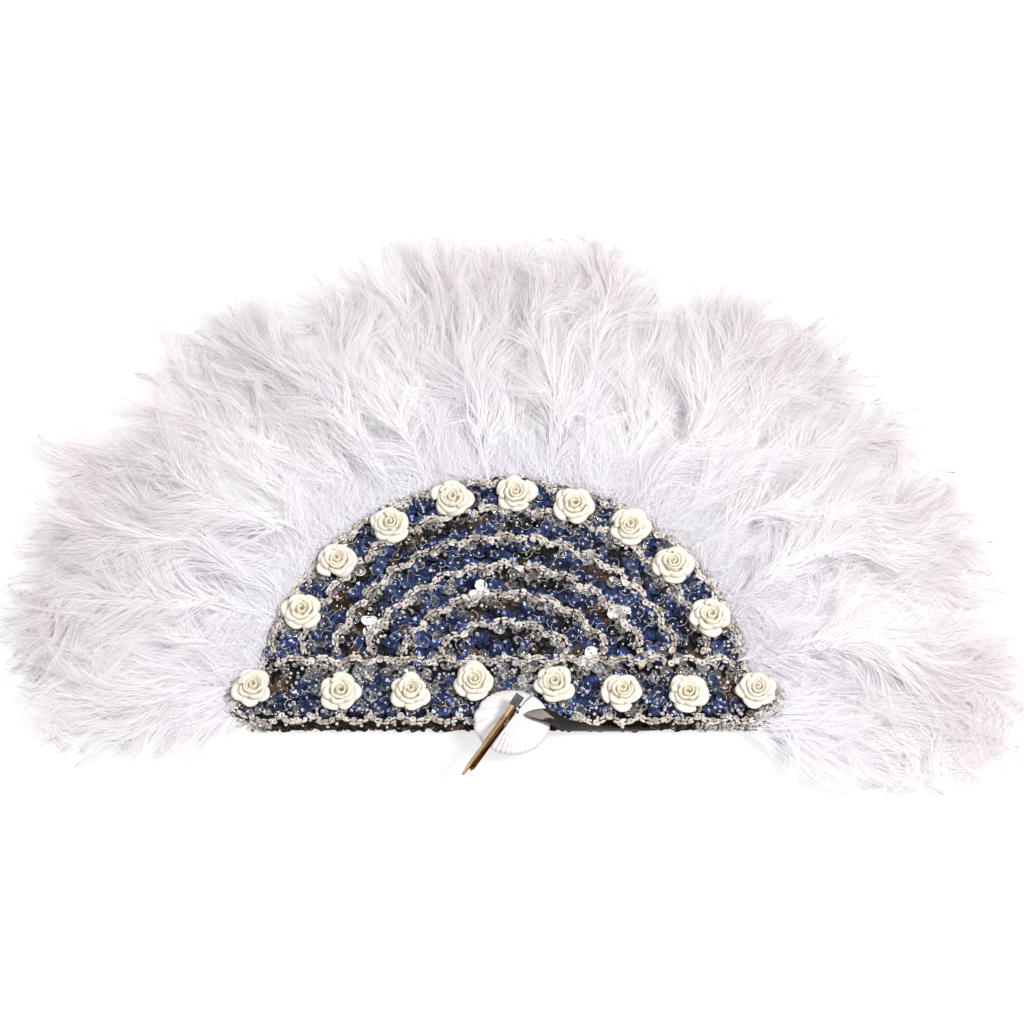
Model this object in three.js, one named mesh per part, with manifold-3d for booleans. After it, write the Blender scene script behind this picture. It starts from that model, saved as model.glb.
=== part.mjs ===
// A feather hand fan: an arched panel of two boards with a sequinned face, rows of clear beads and
// resin roses, two layers of marabou plumes held between the boards, and a pair of shells with a
// sprung gold clip at the lower edge.
//
// Millimetres. The fan lies on its back: +X to the right, +Y towards the plume tips, +Z out of the
// face. The origin is the centre of the arched rim, on the back face.
import * as THREE from "three";
import { mergeVertices } from "three/addons/utils/BufferGeometryUtils.js";
import Module from "manifold-3d";

const wasm = await Module();
wasm.setup();

// Panel outline
const DOME_RADIUS = 104;
const BASE_DROP = 7.5;
const LOBE_RADIUS = 10.5;
const LOBE_OVERHANG = 1;
const ARC_SEGMENTS = 13;

// Panel layers
const BACK_THICKNESS = 0.8;
const BOARD_THICKNESS = 2;
const BOARD_INSET = 1;
const TAPE_THICKNESS = 0.5;
const TAPE_WIDTH = 13;
const TAPE_MARGIN = 1.5;
const QUILL_DIAMETER = 1.8;
const SEQUIN_COVER_THICKNESS = 2.4;
const SEAT_GAP = 0.3;

// Scalloped edge of the back cover and scalloped rows of beads
const SCALLOP_PITCH = 12.6;
const SCALLOP_STEPS = 3;
const HEM_DEPTH = 1.3;
const ROW_WIDTH = 2.2;
const ROW_HEIGHT = 2.2;
const ROW_TOP_SHARE = 0.6;
const ROW_SCALLOP = 2.6;
const ROW_PITCH = 13;
const EDGE_ROW_INSET = 2.4;
const EDGE_ROW_TURN = 60;
const LOBE_STEPS = 8;
const BASE_ROW_HEIGHT = 17;

// Roses
const ROSE_RADIUS = 8.9;
const ROSE_HEIGHT = 5.6;
const ROSE_FOOT_RADIUS = 3.2;
const ROSE_PETALS = 5;
const ROSE_SEGMENTS = 15;
const ROSE_ROW_CLEARANCE = 0.6;
const BASE_ROSE_LINE = 3.4;
const CORNER_ROSE_RISE = 2.2;

// Plumes
const BACK_PLUMES = 12;
const ROOT_ANGLE = 8;
const QUILL_DEPTH = 9;
const QUILL_OUT = 2;
const TIP_RADIUS = 207;
const FRONT_TIP_RADIUS = 184;
const TIP_VARIATION = 5;
const SPLAY = 0.13;
const SPLAY_POWER = 1.5;
const FLARE_LENGTH = 22;
const PLUME_THICKNESS = 11.6;
const PLUME_GAP = 0.8;
const PLUME_CLEARANCE = 0.8;
const TIP_START = 0.66;
const TIP_THICKNESS = 3;
const TIP_BLUNTNESS = 0.03;
const SHAFT_RISE = 0.9;
const PLUME_STATIONS = 12;

// Shells
const SHELL_WIDTH = 31;
const SHELL_LENGTH = 28.4;
const SHELL_X = 2.8;
const SHELL_DROP = 3.5;
const SHELL_DOME = 4.2;
const SHELL_DOME_POWER = 2.2;
const SHELL_THICKNESS = 1.2;
const SHELL_SPLIT_GAP = 0.8;
const SHELL_RIB_DEPTH = 0.45;
const SHELL_STEPS = 5;
const UMBO_SHARE = 0.12;
const LEFT_UMBO_OFFSET = 6.5;
const LEFT_SHELL_RIBS = 14;
const RIGHT_UMBO_OFFSET = 3.8;
const RIGHT_SHELL_RIBS = 20;

// Clip
const CLIP_DIRECTION = 234;
const CLIP_TAIL = 11.5;
const CLIP_JAW = 29;
const CLIP_ALONG = 4;
const CLIP_ASIDE = 1;
const CLIP_BASE_SHORTER = 4;
const CLIP_TAB_WIDTH = 4;
const CLIP_TAB_LENGTH = 4.6;
const CLIP_NECK = 1.2;
const CLIP_ARM_WIDTH = 1.9;
const CLIP_TIP_WIDTH = 1;
const CLIP_METAL = 0.8;
const CLIP_EDGE = 0.22;
const CLIP_TOOTH = 1.2;
const CLIP_TAIL_RISE = 3;
const CLIP_JAW_ASIDE = 1.3;
const PIN_DIAMETER = 1.2;
const PIN_CLEARANCE = 0.1;
const EYE_WALL = 0.75;
const LUG_WIDTH = 1;
const CHEEK_WIDTH = 0.5;
const SPRING_METAL = 0.4;
const SPRING_WIDTH = 1.6;

// Ribbon tab
const RIBBON_WIDTH = 6;
const RIBBON_METAL = 0.7;
const RIBBON_REACH = 44;
const RIBBON_TONGUE = 10;
const RIBBON_BOW = 1;

// The corner lobes' centres, to either side of the middle
const lobeX = DOME_RADIUS + LOBE_OVERHANG;
const lobeY = LOBE_RADIUS - BASE_DROP;

// The bead border, the ring inside it that the rim's roses stand on, and the first row of beads
// inside the roses' feet
const footRoom = ROSE_FOOT_RADIUS + ROSE_ROW_CLEARANCE + ROW_WIDTH / 2;
const borderRow = DOME_RADIUS - EDGE_ROW_INSET - ROW_SCALLOP;
const roseRing = borderRow - footRoom;
const firstRow = roseRing - footRoom - ROW_SCALLOP;

// Heights of the layers, from the back face up
const backBoardZ = BACK_THICKNESS;
const tapeZ = backBoardZ + BOARD_THICKNESS;
const quillZ = tapeZ + TAPE_THICKNESS + SEAT_GAP + QUILL_DIAMETER / 2;
const frontBoardZ = quillZ + QUILL_DIAMETER / 2 + SEAT_GAP;
const sequinZ = frontBoardZ + BOARD_THICKNESS;
const faceZ = sequinZ + SEQUIN_COVER_THICKNESS;
const overRowsZ = faceZ + ROW_HEIGHT + SEAT_GAP;

// The clip's eyes and the height of its hinge above its own underside
const eyeHole = PIN_DIAMETER / 2 + PIN_CLEARANCE;
const eyeRadius = eyeHole + EYE_WALL;
const hingeZ = CLIP_METAL + SEAT_GAP + eyeRadius;

const fabric = { metalness: 0, roughness: 0.85 };
const resin = { metalness: 0, roughness: 0.35 };
const materials = {
  plume: new THREE.MeshStandardMaterial({ color: 0xf4f1f6, ...fabric }),
  sequins: new THREE.MeshStandardMaterial({ color: 0x1e2f66, metalness: 0.3, roughness: 0.3 }),
  lining: new THREE.MeshStandardMaterial({ color: 0x2a201c, ...fabric }),
  board: new THREE.MeshStandardMaterial({ color: 0x8d8478, ...fabric }),
  tape: new THREE.MeshStandardMaterial({ color: 0xf2efe9, ...fabric }),
  beads: new THREE.MeshStandardMaterial({ color: 0xc9c4be, metalness: 0.1, roughness: 0.2 }),
  rose: new THREE.MeshStandardMaterial({ color: 0xf3ead6, ...resin }),
  shell: new THREE.MeshStandardMaterial({ color: 0xf6f2f1, ...resin }),
  gold: new THREE.MeshStandardMaterial({ color: 0xd3a458, metalness: 1, roughness: 0.22 }),
  ribbon: new THREE.MeshStandardMaterial({ color: 0x1b1512, metalness: 0, roughness: 0.4 }),
};

const degrees = THREE.MathUtils.degToRad;
const smooth = (x) => THREE.MathUtils.smoothstep(x, 0, 1);
const scallop = (k) => Math.abs(Math.sin((Math.PI * k) / SCALLOP_STEPS));
const polar = (radius, angle, z = 0) =>
  new THREE.Vector3(radius * Math.cos(angle), radius * Math.sin(angle), z);

const fan = new THREE.Group();

function place(name, geometry, material, parent = fan) {
  const mesh = new THREE.Mesh(geometry, material);
  mesh.name = name;
  parent.add(mesh);
  return mesh;
}

// Closed surfaces

function closedSurface(points, faces) {
  const volume = faces.reduce((sum, [a, b, c]) => {
    const normal = new THREE.Vector3().crossVectors(points[b], points[c]);
    return sum + points[a].dot(normal);
  }, 0);
  const outward = volume > 0 ? faces : faces.map(([a, b, c]) => [a, c, b]);
  const geometry = new THREE.BufferGeometry().setFromPoints(points);
  geometry.setIndex(outward.flat());
  return geometry;
}

// A skin over rings of equal point count, with a fan of faces closing each end.
function loft(rings) {
  const count = rings[0].length;
  const points = rings.flat();
  const faces = [];
  for (let k = 0; k + 1 < rings.length; k += 1) {
    for (let j = 0; j < count; j += 1) {
      const a = k * count + j;
      const b = k * count + ((j + 1) % count);
      faces.push([a, b, b + count], [a, b + count, a + count]);
    }
  }
  const closeEnd = (ring, first, turn) => {
    const middle = new THREE.Vector3();
    ring.forEach((p) => middle.addScaledVector(p, 1 / count));
    const hub = points.push(middle) - 1;
    for (let j = 0; j < count; j += 1) {
      const edge = [first + j, first + ((j + 1) % count)];
      faces.push(turn ? [hub, edge[1], edge[0]] : [hub, edge[0], edge[1]]);
    }
  };
  closeEnd(rings[0], 0, true);
  closeEnd(rings.at(-1), (rings.length - 1) * count, false);
  return closedSurface(points, faces);
}

// A sheet of even thickness: upper(u, v) over a grid, and the same grid lowered by thickness.
function thickSheet(columns, rows, thickness, upper) {
  const across = columns + 1;
  const layer = across * (rows + 1);
  const points = [];
  [0, thickness].forEach((drop) => {
    for (let r = 0; r <= rows; r += 1) {
      for (let c = 0; c <= columns; c += 1) {
        const p = upper(c / columns, r / rows);
        points.push(new THREE.Vector3(p.x, p.y, p.z - drop));
      }
    }
  });
  const faces = [];
  for (let r = 0; r < rows; r += 1) {
    for (let c = 0; c < columns; c += 1) {
      const a = r * across + c;
      faces.push([a, a + 1, a + across + 1], [a, a + across + 1, a + across]);
      const b = a + layer;
      faces.push([b, b + across + 1, b + 1], [b, b + across, b + across + 1]);
    }
  }
  const rim = [];
  for (let c = 0; c < columns; c += 1) rim.push(c);
  for (let r = 0; r < rows; r += 1) rim.push(r * across + columns);
  for (let c = columns; c > 0; c -= 1) rim.push(rows * across + c);
  for (let r = rows; r > 0; r -= 1) rim.push(r * across);
  rim.forEach((a, k) => {
    const b = rim[(k + 1) % rim.length];
    faces.push([a, a + layer, b + layer], [a, b + layer, b]);
  });
  return closedSurface(points, faces);
}

function plate(shape, z, thickness) {
  const geometry = new THREE.ExtrudeGeometry(shape, {
    depth: thickness,
    bevelEnabled: false,
    curveSegments: ARC_SEGMENTS,
  });
  return geometry.translate(0, 0, z);
}

function solidOf(geometry) {
  const bare = geometry.clone();
  bare.deleteAttribute("normal");
  bare.deleteAttribute("uv");
  const merged = mergeVertices(bare);
  return new wasm.Manifold(
    new wasm.Mesh({
      numProp: 3,
      vertProperties: merged.attributes.position.array,
      triVerts: new Uint32Array(merged.index.array),
    }),
  );
}

function join(...geometries) {
  const [first, ...others] = geometries.map(solidOf);
  const mesh = others.reduce((sum, next) => sum.add(next), first).getMesh();
  const geometry = new THREE.BufferGeometry();
  geometry.setAttribute("position", new THREE.BufferAttribute(mesh.vertProperties, mesh.numProp));
  return geometry.setIndex(new THREE.BufferAttribute(mesh.triVerts, 1));
}

// Panel

// Where the arched rim meets a corner lobe, as an angle about the rim's centre and about the lobe's.
function lobeMeeting(inset) {
  const rim = DOME_RADIUS - inset;
  const lobe = LOBE_RADIUS - inset;
  const reach = Math.hypot(lobeX, lobeY);
  const bearing = Math.atan2(lobeY, lobeX);
  const spread = Math.acos((rim ** 2 + reach ** 2 - lobe ** 2) / (2 * rim * reach));
  const meeting = polar(rim, bearing + spread);
  const aboutLobe = Math.atan2(meeting.y - lobeY, meeting.x - lobeX);
  return { rim, lobe, aboutRim: bearing + spread, aboutLobe };
}

// The panel's outline drawn in by inset. The hem hangs in scallops below the straight edge.
function panelShape(inset, hem = 0) {
  const { rim, lobe, aboutRim, aboutLobe } = lobeMeeting(inset);
  const quarter = Math.PI / 2;
  const shape = new THREE.Shape();
  shape.absarc(lobeX, lobeY, lobe, -quarter, aboutLobe, false);
  shape.absarc(0, 0, rim, aboutRim, Math.PI - aboutRim, false);
  shape.absarc(-lobeX, lobeY, lobe, Math.PI - aboutLobe, 3 * quarter, false);
  if (hem > 0) {
    const steps = SCALLOP_STEPS * Math.round((2 * lobeX) / SCALLOP_PITCH);
    for (let k = 1; k < steps; k += 1) {
      const x = lobeX * ((2 * k) / steps - 1);
      shape.lineTo(x, inset - BASE_DROP - hem * scallop(k));
    }
  }
  return shape;
}

// How far the panel reaches from the rim's centre along a ray.
function panelReach(angle) {
  const side = Math.sign(Math.cos(angle)) || 1;
  const centre = new THREE.Vector2(side * lobeX, lobeY);
  const ray = new THREE.Vector2(Math.cos(angle), Math.sin(angle));
  const along = centre.dot(ray);
  const off = Math.abs(centre.cross(ray));
  if (off >= LOBE_RADIUS) return DOME_RADIUS;
  return Math.max(DOME_RADIUS, along + Math.sqrt(LOBE_RADIUS ** 2 - off ** 2));
}

function tapeShape() {
  const outer = DOME_RADIUS - BOARD_INSET - TAPE_MARGIN;
  const inner = outer - TAPE_WIDTH;
  const shape = new THREE.Shape();
  shape.absarc(0, 0, outer, 0, Math.PI, false);
  shape.absarc(0, 0, inner, Math.PI, 0, true);
  return shape;
}

function addPanel() {
  place("back_cover", plate(panelShape(0, HEM_DEPTH), 0, BACK_THICKNESS), materials.lining);
  const board = panelShape(BOARD_INSET);
  place("back_board", plate(board, backBoardZ, BOARD_THICKNESS), materials.board);
  place("feather_tape", plate(tapeShape(), tapeZ, TAPE_THICKNESS), materials.tape);
  place("front_board", plate(board, frontBoardZ, BOARD_THICKNESS), materials.board);
  place("sequin_cover", plate(panelShape(0), sequinZ, SEQUIN_COVER_THICKNESS), materials.sequins);
}

// Rows of beads

// A low trapezoid swept along a path that lies on the face.
function beadRow(path) {
  const half = ROW_WIDTH / 2;
  const top = half * ROW_TOP_SHARE;
  const rings = path.map((p, k) => {
    const ahead = path[Math.min(k + 1, path.length - 1)];
    const behind = path[Math.max(k - 1, 0)];
    const along = new THREE.Vector3().subVectors(ahead, behind).normalize();
    const side = new THREE.Vector3(along.y, -along.x, 0);
    const at = (offset, rise) => p.clone().addScaledVector(side, offset).setZ(faceZ + rise);
    return [at(-half, 0), at(half, 0), at(top, ROW_HEIGHT), at(-top, ROW_HEIGHT)];
  });
  return loft(rings);
}

function arcPath(radius, from, to) {
  const length = radius * Math.abs(to - from);
  const steps = SCALLOP_STEPS * Math.max(2, Math.round(length / SCALLOP_PITCH));
  return Array.from({ length: steps + 1 }, (_, k) =>
    polar(radius + ROW_SCALLOP * scallop(k), from + ((to - from) * k) / steps),
  );
}

function addBeadRows() {
  const bandTop = BASE_ROW_HEIGHT + ROW_SCALLOP + 1.5 * ROW_WIDTH + SEAT_GAP;
  const addArc = (name, radius) => {
    const end = Math.asin(bandTop / radius);
    place(name, beadRow(arcPath(radius, end, Math.PI - end)), materials.beads);
  };
  addArc("bead_border", borderRow);
  for (let k = 0; firstRow - k * ROW_PITCH > bandTop + ROW_PITCH / 2; k += 1) {
    addArc(`bead_row_${k + 1}`, firstRow - k * ROW_PITCH);
  }

  const baseEnd = lobeX - LOBE_RADIUS;
  const upperSteps = SCALLOP_STEPS * Math.round((2 * baseEnd) / SCALLOP_PITCH);
  const upper = Array.from({ length: upperSteps + 1 }, (_, k) => {
    const x = baseEnd * ((2 * k) / upperSteps - 1);
    return new THREE.Vector3(x, BASE_ROW_HEIGHT + ROW_SCALLOP * scallop(k), 0);
  });
  place("bead_base_row", beadRow(upper), materials.beads);

  // Along the straight edge and up round both corner lobes.
  const turn = LOBE_RADIUS - EDGE_ROW_INSET;
  const corner = Array.from({ length: LOBE_STEPS }, (_, k) => {
    const angle = THREE.MathUtils.lerp(EDGE_ROW_TURN, -90, k / LOBE_STEPS);
    return polar(turn, degrees(angle)).add(new THREE.Vector3(lobeX, lobeY, 0));
  });
  const edgeSteps = SCALLOP_STEPS * Math.round((2 * lobeX) / SCALLOP_PITCH);
  const edge = Array.from({ length: edgeSteps + 1 }, (_, k) => {
    const x = lobeX * (1 - (2 * k) / edgeSteps);
    return new THREE.Vector3(x, lobeY - turn - 0.5 * HEM_DEPTH * scallop(k), 0);
  });
  const mirrored = corner.map((p) => new THREE.Vector3(-p.x, p.y, 0)).reverse();
  place("bead_base_edge", beadRow([...corner, ...edge, ...mirrored]), materials.beads);
}

// Roses

// Share of the radius and of the height at each fold of the petals, and how far the petals lobe.
const ROSE_FOLDS = [
  { radius: 0.9, height: 0.06, lobe: 0.05 },
  { radius: 1, height: 0.34, lobe: 0.07 },
  { radius: 0.74, height: 0.4, lobe: 0.05 },
  { radius: 0.8, height: 0.7, lobe: 0.07 },
  { radius: 0.5, height: 0.62, lobe: 0.05 },
  { radius: 0.52, height: 0.92, lobe: 0.08 },
  { radius: 0.24, height: 0.76, lobe: 0.05 },
  { radius: 0.2, height: 1, lobe: 0.1 },
];

function roseGeometry() {
  const lift = overRowsZ - faceZ;
  const ring = (radius, z, lobe, twist) =>
    Array.from({ length: ROSE_SEGMENTS }, (_, j) => {
      const angle = (2 * Math.PI * j) / ROSE_SEGMENTS;
      const wave = 1 - lobe + lobe * Math.cos(ROSE_PETALS * (angle + twist));
      return polar(radius * wave, angle, z);
    });
  const half = Math.PI / ROSE_PETALS;
  const petals = ROSE_FOLDS.map((fold, k) =>
    ring(ROSE_RADIUS * fold.radius, lift + ROSE_HEIGHT * fold.height, fold.lobe, half * (k >> 1)),
  );
  return loft([ring(ROSE_FOOT_RADIUS, 0, 0, 0), ring(ROSE_FOOT_RADIUS, lift, 0, 0), ...petals]);
}

// Glued on by hand, so the spacing is a little uneven: bearings round the rim in degrees, and
// places along the straight edge as shares of the distance to a corner.
const RIM_ROSE_BEARINGS = [155, 138, 121, 104, 87, 72, 56.5, 41, 24];
const BASE_ROSE_SHARES = [-0.655, -0.37, -0.12, 0.19, 0.47, 0.725];

function addRoses() {
  const rose = roseGeometry();
  const addRose = (name, x, y, turn) => {
    const mesh = place(name, rose, materials.rose);
    mesh.position.set(x, y, faceZ);
    mesh.rotation.z = turn;
  };
  RIM_ROSE_BEARINGS.forEach((bearing, k) => {
    const at = polar(roseRing, degrees(bearing));
    addRose(`rose_rim_${k + 1}`, at.x, at.y, degrees(bearing + 40 * k));
  });
  const shell = shellOutline();
  const keepOff = Math.max(SHELL_WIDTH, SHELL_LENGTH) / 2 + ROSE_RADIUS + 2 * SEAT_GAP;
  BASE_ROSE_SHARES.forEach((share, k) => {
    const x = share * lobeX;
    const clear = keepOff ** 2 - (x - shell.x) ** 2;
    const aboveShell = clear > 0 ? shell.y + Math.sqrt(clear) : -Infinity;
    addRose(`rose_base_${k + 1}`, x, Math.max(BASE_ROSE_LINE, aboveShell), degrees(25 * k));
  });
  addRose("rose_corner_left", -lobeX, lobeY + CORNER_ROSE_RISE, degrees(10));
  addRose("rose_corner_right", lobeX, lobeY + CORNER_ROSE_RISE, degrees(50));
}

// Plumes

// How far the ring of plumes has opened out at a radius, against its angles at the rim.
function splayAt(radius) {
  const share = Math.max(0, (radius - DOME_RADIUS) / (TIP_RADIUS - DOME_RADIUS));
  return 1 + SPLAY * share ** SPLAY_POWER;
}

// One plume: a round quill between the boards that flares into a soft vane with a raised shaft.
// Its sector of the ring is pitch wide at the root and splays towards the tip.
function plumeGeometry(rootAngle, pitch, tipRadius, lift) {
  const start = panelReach(rootAngle) + QUILL_OUT;
  const root = DOME_RADIUS - QUILL_DEPTH;
  const quill = QUILL_DIAMETER / 2;
  const upright = Math.PI / 2;
  const radii = [root, start];
  for (let k = 1; k <= PLUME_STATIONS; k += 1) {
    radii.push(start + (tipRadius - start) * (k / PLUME_STATIONS));
  }
  const rings = radii.map((radius) => {
    const share = Math.max(0, (radius - start) / (tipRadius - start));
    const flare = smooth((radius - start) / FLARE_LENGTH);
    const past = Math.max(0, (share - TIP_START) / (1 - TIP_START));
    const tip = Math.sqrt(1 - (1 - TIP_BLUNTNESS) * past ** 2);
    const splay = splayAt(radius);
    const angle = upright + (rootAngle - upright) * splay;
    const room = radius * Math.sin((pitch * splay) / 2) - PLUME_GAP / 2;
    const width = THREE.MathUtils.lerp(quill, room * tip, flare);
    const vane = THREE.MathUtils.lerp(PLUME_THICKNESS, TIP_THICKNESS, past) / 2;
    const thick = THREE.MathUtils.lerp(quill, vane, flare);
    const z = quillZ + lift * flare;
    const shaft = thick + SHAFT_RISE * flare * (1 - past);
    const centre = polar(radius, angle, z);
    const side = polar(1, angle - upright);
    const at = (across, up) =>
      centre.clone().addScaledVector(side, across * width).setZ(z + up);
    return [
      at(1, 0),
      at(0.72, 0.7 * thick),
      at(0.1, 0.96 * thick),
      at(0, shaft),
      at(-0.1, 0.96 * thick),
      at(-0.72, 0.7 * thick),
      at(-1, 0),
      at(-0.6, -0.8 * thick),
      at(0.6, -0.8 * thick),
    ];
  });
  return loft(rings);
}

function addPlumes() {
  const span = Math.PI - 2 * degrees(ROOT_ANGLE);
  const pitch = span / (BACK_PLUMES - 1);
  const half = PLUME_THICKNESS / 2;
  const backLift = half + PLUME_CLEARANCE - quillZ;
  const frontLift = backLift + PLUME_THICKNESS + SHAFT_RISE + SEAT_GAP;
  const name = (layer, k) => `plume_${layer}_${String(k + 1).padStart(2, "0")}`;
  for (let k = 0; k < BACK_PLUMES; k += 1) {
    const angle = degrees(ROOT_ANGLE) + k * pitch;
    const tip = TIP_RADIUS + TIP_VARIATION * Math.cos(2.4 * k);
    place(name("back", k), plumeGeometry(angle, pitch, tip, backLift), materials.plume);
  }
  for (let k = 0; k + 1 < BACK_PLUMES; k += 1) {
    const angle = degrees(ROOT_ANGLE) + (k + 0.5) * pitch;
    const tip = FRONT_TIP_RADIUS + TIP_VARIATION * Math.cos(1.7 * k + 1);
    place(name("front", k), plumeGeometry(angle, pitch, tip, frontLift), materials.plume);
  }
}

// Shells

function shellOutline() {
  return {
    x: SHELL_X,
    y: -BASE_DROP - SHELL_DROP,
    top: overRowsZ + SHELL_THICKNESS + SHELL_DOME + 2 * SHELL_RIB_DEPTH,
  };
}

// How far a ray from a point inside the shells' oval runs before it leaves the oval.
function ovalReach(from, angle) {
  const half = new THREE.Vector2(SHELL_WIDTH, SHELL_LENGTH).divideScalar(2);
  const start = new THREE.Vector2(from.x, from.y).divide(half);
  const step = new THREE.Vector2(Math.cos(angle), Math.sin(angle)).divide(half);
  const across = start.dot(step) / step.lengthSq();
  return Math.sqrt(across ** 2 + (1 - start.lengthSq()) / step.lengthSq()) - across;
}

// One valve: a dome that covers the shells' oval on one side of the clip. Its ribs fan out from the
// umbo, which lies on the clip's line, offset from the oval's centre towards the clip's tail.
function valveGeometry(from, offset, ribs) {
  const { x, y, top } = shellOutline();
  const umbo = polar(offset, degrees(CLIP_DIRECTION) - Math.PI);
  const apart = polar(SHELL_SPLIT_GAP / 2, from + Math.PI / 2);
  return thickSheet(2 * ribs, SHELL_STEPS, SHELL_THICKNESS, (u, v) => {
    const angle = from + Math.PI * u;
    const share = THREE.MathUtils.lerp(UMBO_SHARE, 1, v);
    const rib = SHELL_RIB_DEPTH * share * (Math.cos(2 * Math.PI * ribs * u) - 1);
    const z = top - SHELL_DOME * share ** SHELL_DOME_POWER + rib;
    const p = polar(share * ovalReach(umbo, angle), angle, z);
    return p.add(umbo).add(apart).add(new THREE.Vector3(x, y, 0));
  });
}

function addShells() {
  const clip = degrees(CLIP_DIRECTION);
  const left = valveGeometry(clip - Math.PI, LEFT_UMBO_OFFSET, LEFT_SHELL_RIBS);
  const right = valveGeometry(clip, RIGHT_UMBO_OFFSET, RIGHT_SHELL_RIBS);
  place("shell_left", left, materials.shell);
  place("shell_right", right, materials.shell);
}

// Clip. In its own frame +X runs from the hinge to the tip of the jaws, and Z starts on the shells.

// A strip of metal with its long edges rounded over.
function bar(stations) {
  return loft(
    stations.map(({ x, y = 0, z, width, metal = CLIP_METAL }) => {
      const half = width / 2;
      const flat = half - CLIP_EDGE;
      const at = (across, up) => new THREE.Vector3(x, y + across, z + up);
      return [
        at(-flat, 0),
        at(flat, 0),
        at(half, CLIP_EDGE),
        at(half, metal - CLIP_EDGE),
        at(flat, metal),
        at(-flat, metal),
        at(-half, metal - CLIP_EDGE),
        at(-half, CLIP_EDGE),
      ];
    }),
  );
}

// A plate that stands across the hinge, with an eye for the pin and a foot at height footZ.
function eyePlate(y, thickness, footZ) {
  const shape = new THREE.Shape();
  const start = footZ < hingeZ ? 0 : Math.PI;
  const edge = footZ < hingeZ ? eyeRadius : -eyeRadius;
  shape.absarc(0, hingeZ, eyeRadius, start, start + Math.PI, false);
  shape.lineTo(-edge, footZ);
  shape.lineTo(edge, footZ);
  shape.holes.push(new THREE.Path().absarc(0, hingeZ, eyeHole, 0, 2 * Math.PI, true));
  const depth = { depth: thickness, bevelEnabled: false, curveSegments: 6 };
  const geometry = new THREE.ExtrudeGeometry(shape, depth);
  return geometry.rotateX(Math.PI / 2).translate(0, y + thickness / 2, 0);
}

function addClip() {
  const { x, y, top } = shellOutline();
  const clip = new THREE.Group();
  const direction = degrees(CLIP_DIRECTION);
  const hinge = polar(CLIP_ALONG, direction).add(polar(CLIP_ASIDE, direction - Math.PI / 2));
  clip.position.set(x + hinge.x, y + hinge.y, top + SEAT_GAP);
  clip.rotation.z = direction;
  fan.add(clip);

  const cheekY = LUG_WIDTH / 2 + SEAT_GAP + CHEEK_WIDTH / 2;
  const cheekSpan = 2 * cheekY + CHEEK_WIDTH;
  const leverZ = hingeZ + eyeRadius + SEAT_GAP;
  const jawEnd = CLIP_JAW - CLIP_BASE_SHORTER;
  const toothEnd = jawEnd - CLIP_TOOTH;
  const tabEnd = CLIP_TAB_LENGTH - CLIP_TAIL;
  const tailZ = (along) => leverZ - (CLIP_TAIL_RISE * along) / CLIP_TAIL;
  const overTooth = CLIP_TOOTH + 2 * SEAT_GAP;

  // The lower jaw lies a little beside the upper one and ends in a rounded tooth.
  const base = bar([
    { x: tabEnd - CLIP_NECK, z: 0, width: CLIP_ARM_WIDTH },
    { x: -eyeRadius, z: 0, width: cheekSpan },
    { x: eyeRadius, z: 0, width: cheekSpan },
    { x: toothEnd - CLIP_TOOTH, y: CLIP_JAW_ASIDE, z: 0, width: CLIP_ARM_WIDTH },
    { x: toothEnd, y: CLIP_JAW_ASIDE, z: 0, width: CLIP_ARM_WIDTH, metal: CLIP_TOOTH },
    { x: jawEnd, y: CLIP_JAW_ASIDE, z: 0, width: CLIP_TIP_WIDTH },
  ]);
  place("clip_base", join(base, eyePlate(0, LUG_WIDTH, CLIP_METAL / 2)), materials.gold, clip);

  const lever = bar([
    { x: -CLIP_TAIL, z: tailZ(-CLIP_TAIL), width: CLIP_TAB_WIDTH },
    { x: tabEnd, z: tailZ(tabEnd), width: CLIP_TAB_WIDTH },
    { x: tabEnd + CLIP_NECK, z: tailZ(tabEnd + CLIP_NECK), width: cheekSpan },
    { x: -eyeRadius, z: leverZ, width: cheekSpan },
    { x: eyeRadius, z: leverZ, width: cheekSpan },
    { x: CLIP_JAW / 2, z: (leverZ + overTooth) / 2, width: CLIP_ARM_WIDTH },
    { x: toothEnd, z: overTooth, width: CLIP_ARM_WIDTH },
    { x: CLIP_JAW, z: CLIP_METAL, width: CLIP_TIP_WIDTH },
  ]);
  const cheeks = [-cheekY, cheekY].map((side) =>
    eyePlate(side, CHEEK_WIDTH, leverZ + CLIP_METAL / 2),
  );
  place("clip_lever", join(lever, ...cheeks), materials.gold, clip);

  const pin = new THREE.CylinderGeometry(
    PIN_DIAMETER / 2,
    PIN_DIAMETER / 2,
    cheekSpan + 2 * SEAT_GAP,
    14,
  );
  place("clip_pin", pin.translate(0, 0, hingeZ), materials.gold, clip);

  // A folded leaf that pushes the two tails apart.
  const fold = -eyeRadius - 2 * SEAT_GAP;
  const low = CLIP_METAL + SEAT_GAP;
  const high = leverZ - SEAT_GAP;
  const tailHigh = tailZ(tabEnd) - SEAT_GAP;
  const leaf = new THREE.Shape();
  leaf.moveTo(tabEnd, low);
  leaf.lineTo(fold - low, low);
  leaf.lineTo(fold, hingeZ);
  leaf.lineTo(fold - low, high);
  leaf.lineTo(tabEnd, tailHigh);
  leaf.lineTo(tabEnd, tailHigh - SPRING_METAL);
  leaf.lineTo(fold - low - SPRING_METAL, high - SPRING_METAL);
  leaf.lineTo(fold - 2 * SPRING_METAL, hingeZ);
  leaf.lineTo(fold - low - SPRING_METAL, low + SPRING_METAL);
  leaf.lineTo(tabEnd, low + SPRING_METAL);
  const spring = new THREE.ExtrudeGeometry(leaf, { depth: SPRING_WIDTH, bevelEnabled: false });
  spring.rotateX(Math.PI / 2).translate(0, SPRING_WIDTH / 2, 0);
  place("clip_spring", spring, materials.gold, clip);
}

// Ribbon tab

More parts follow.
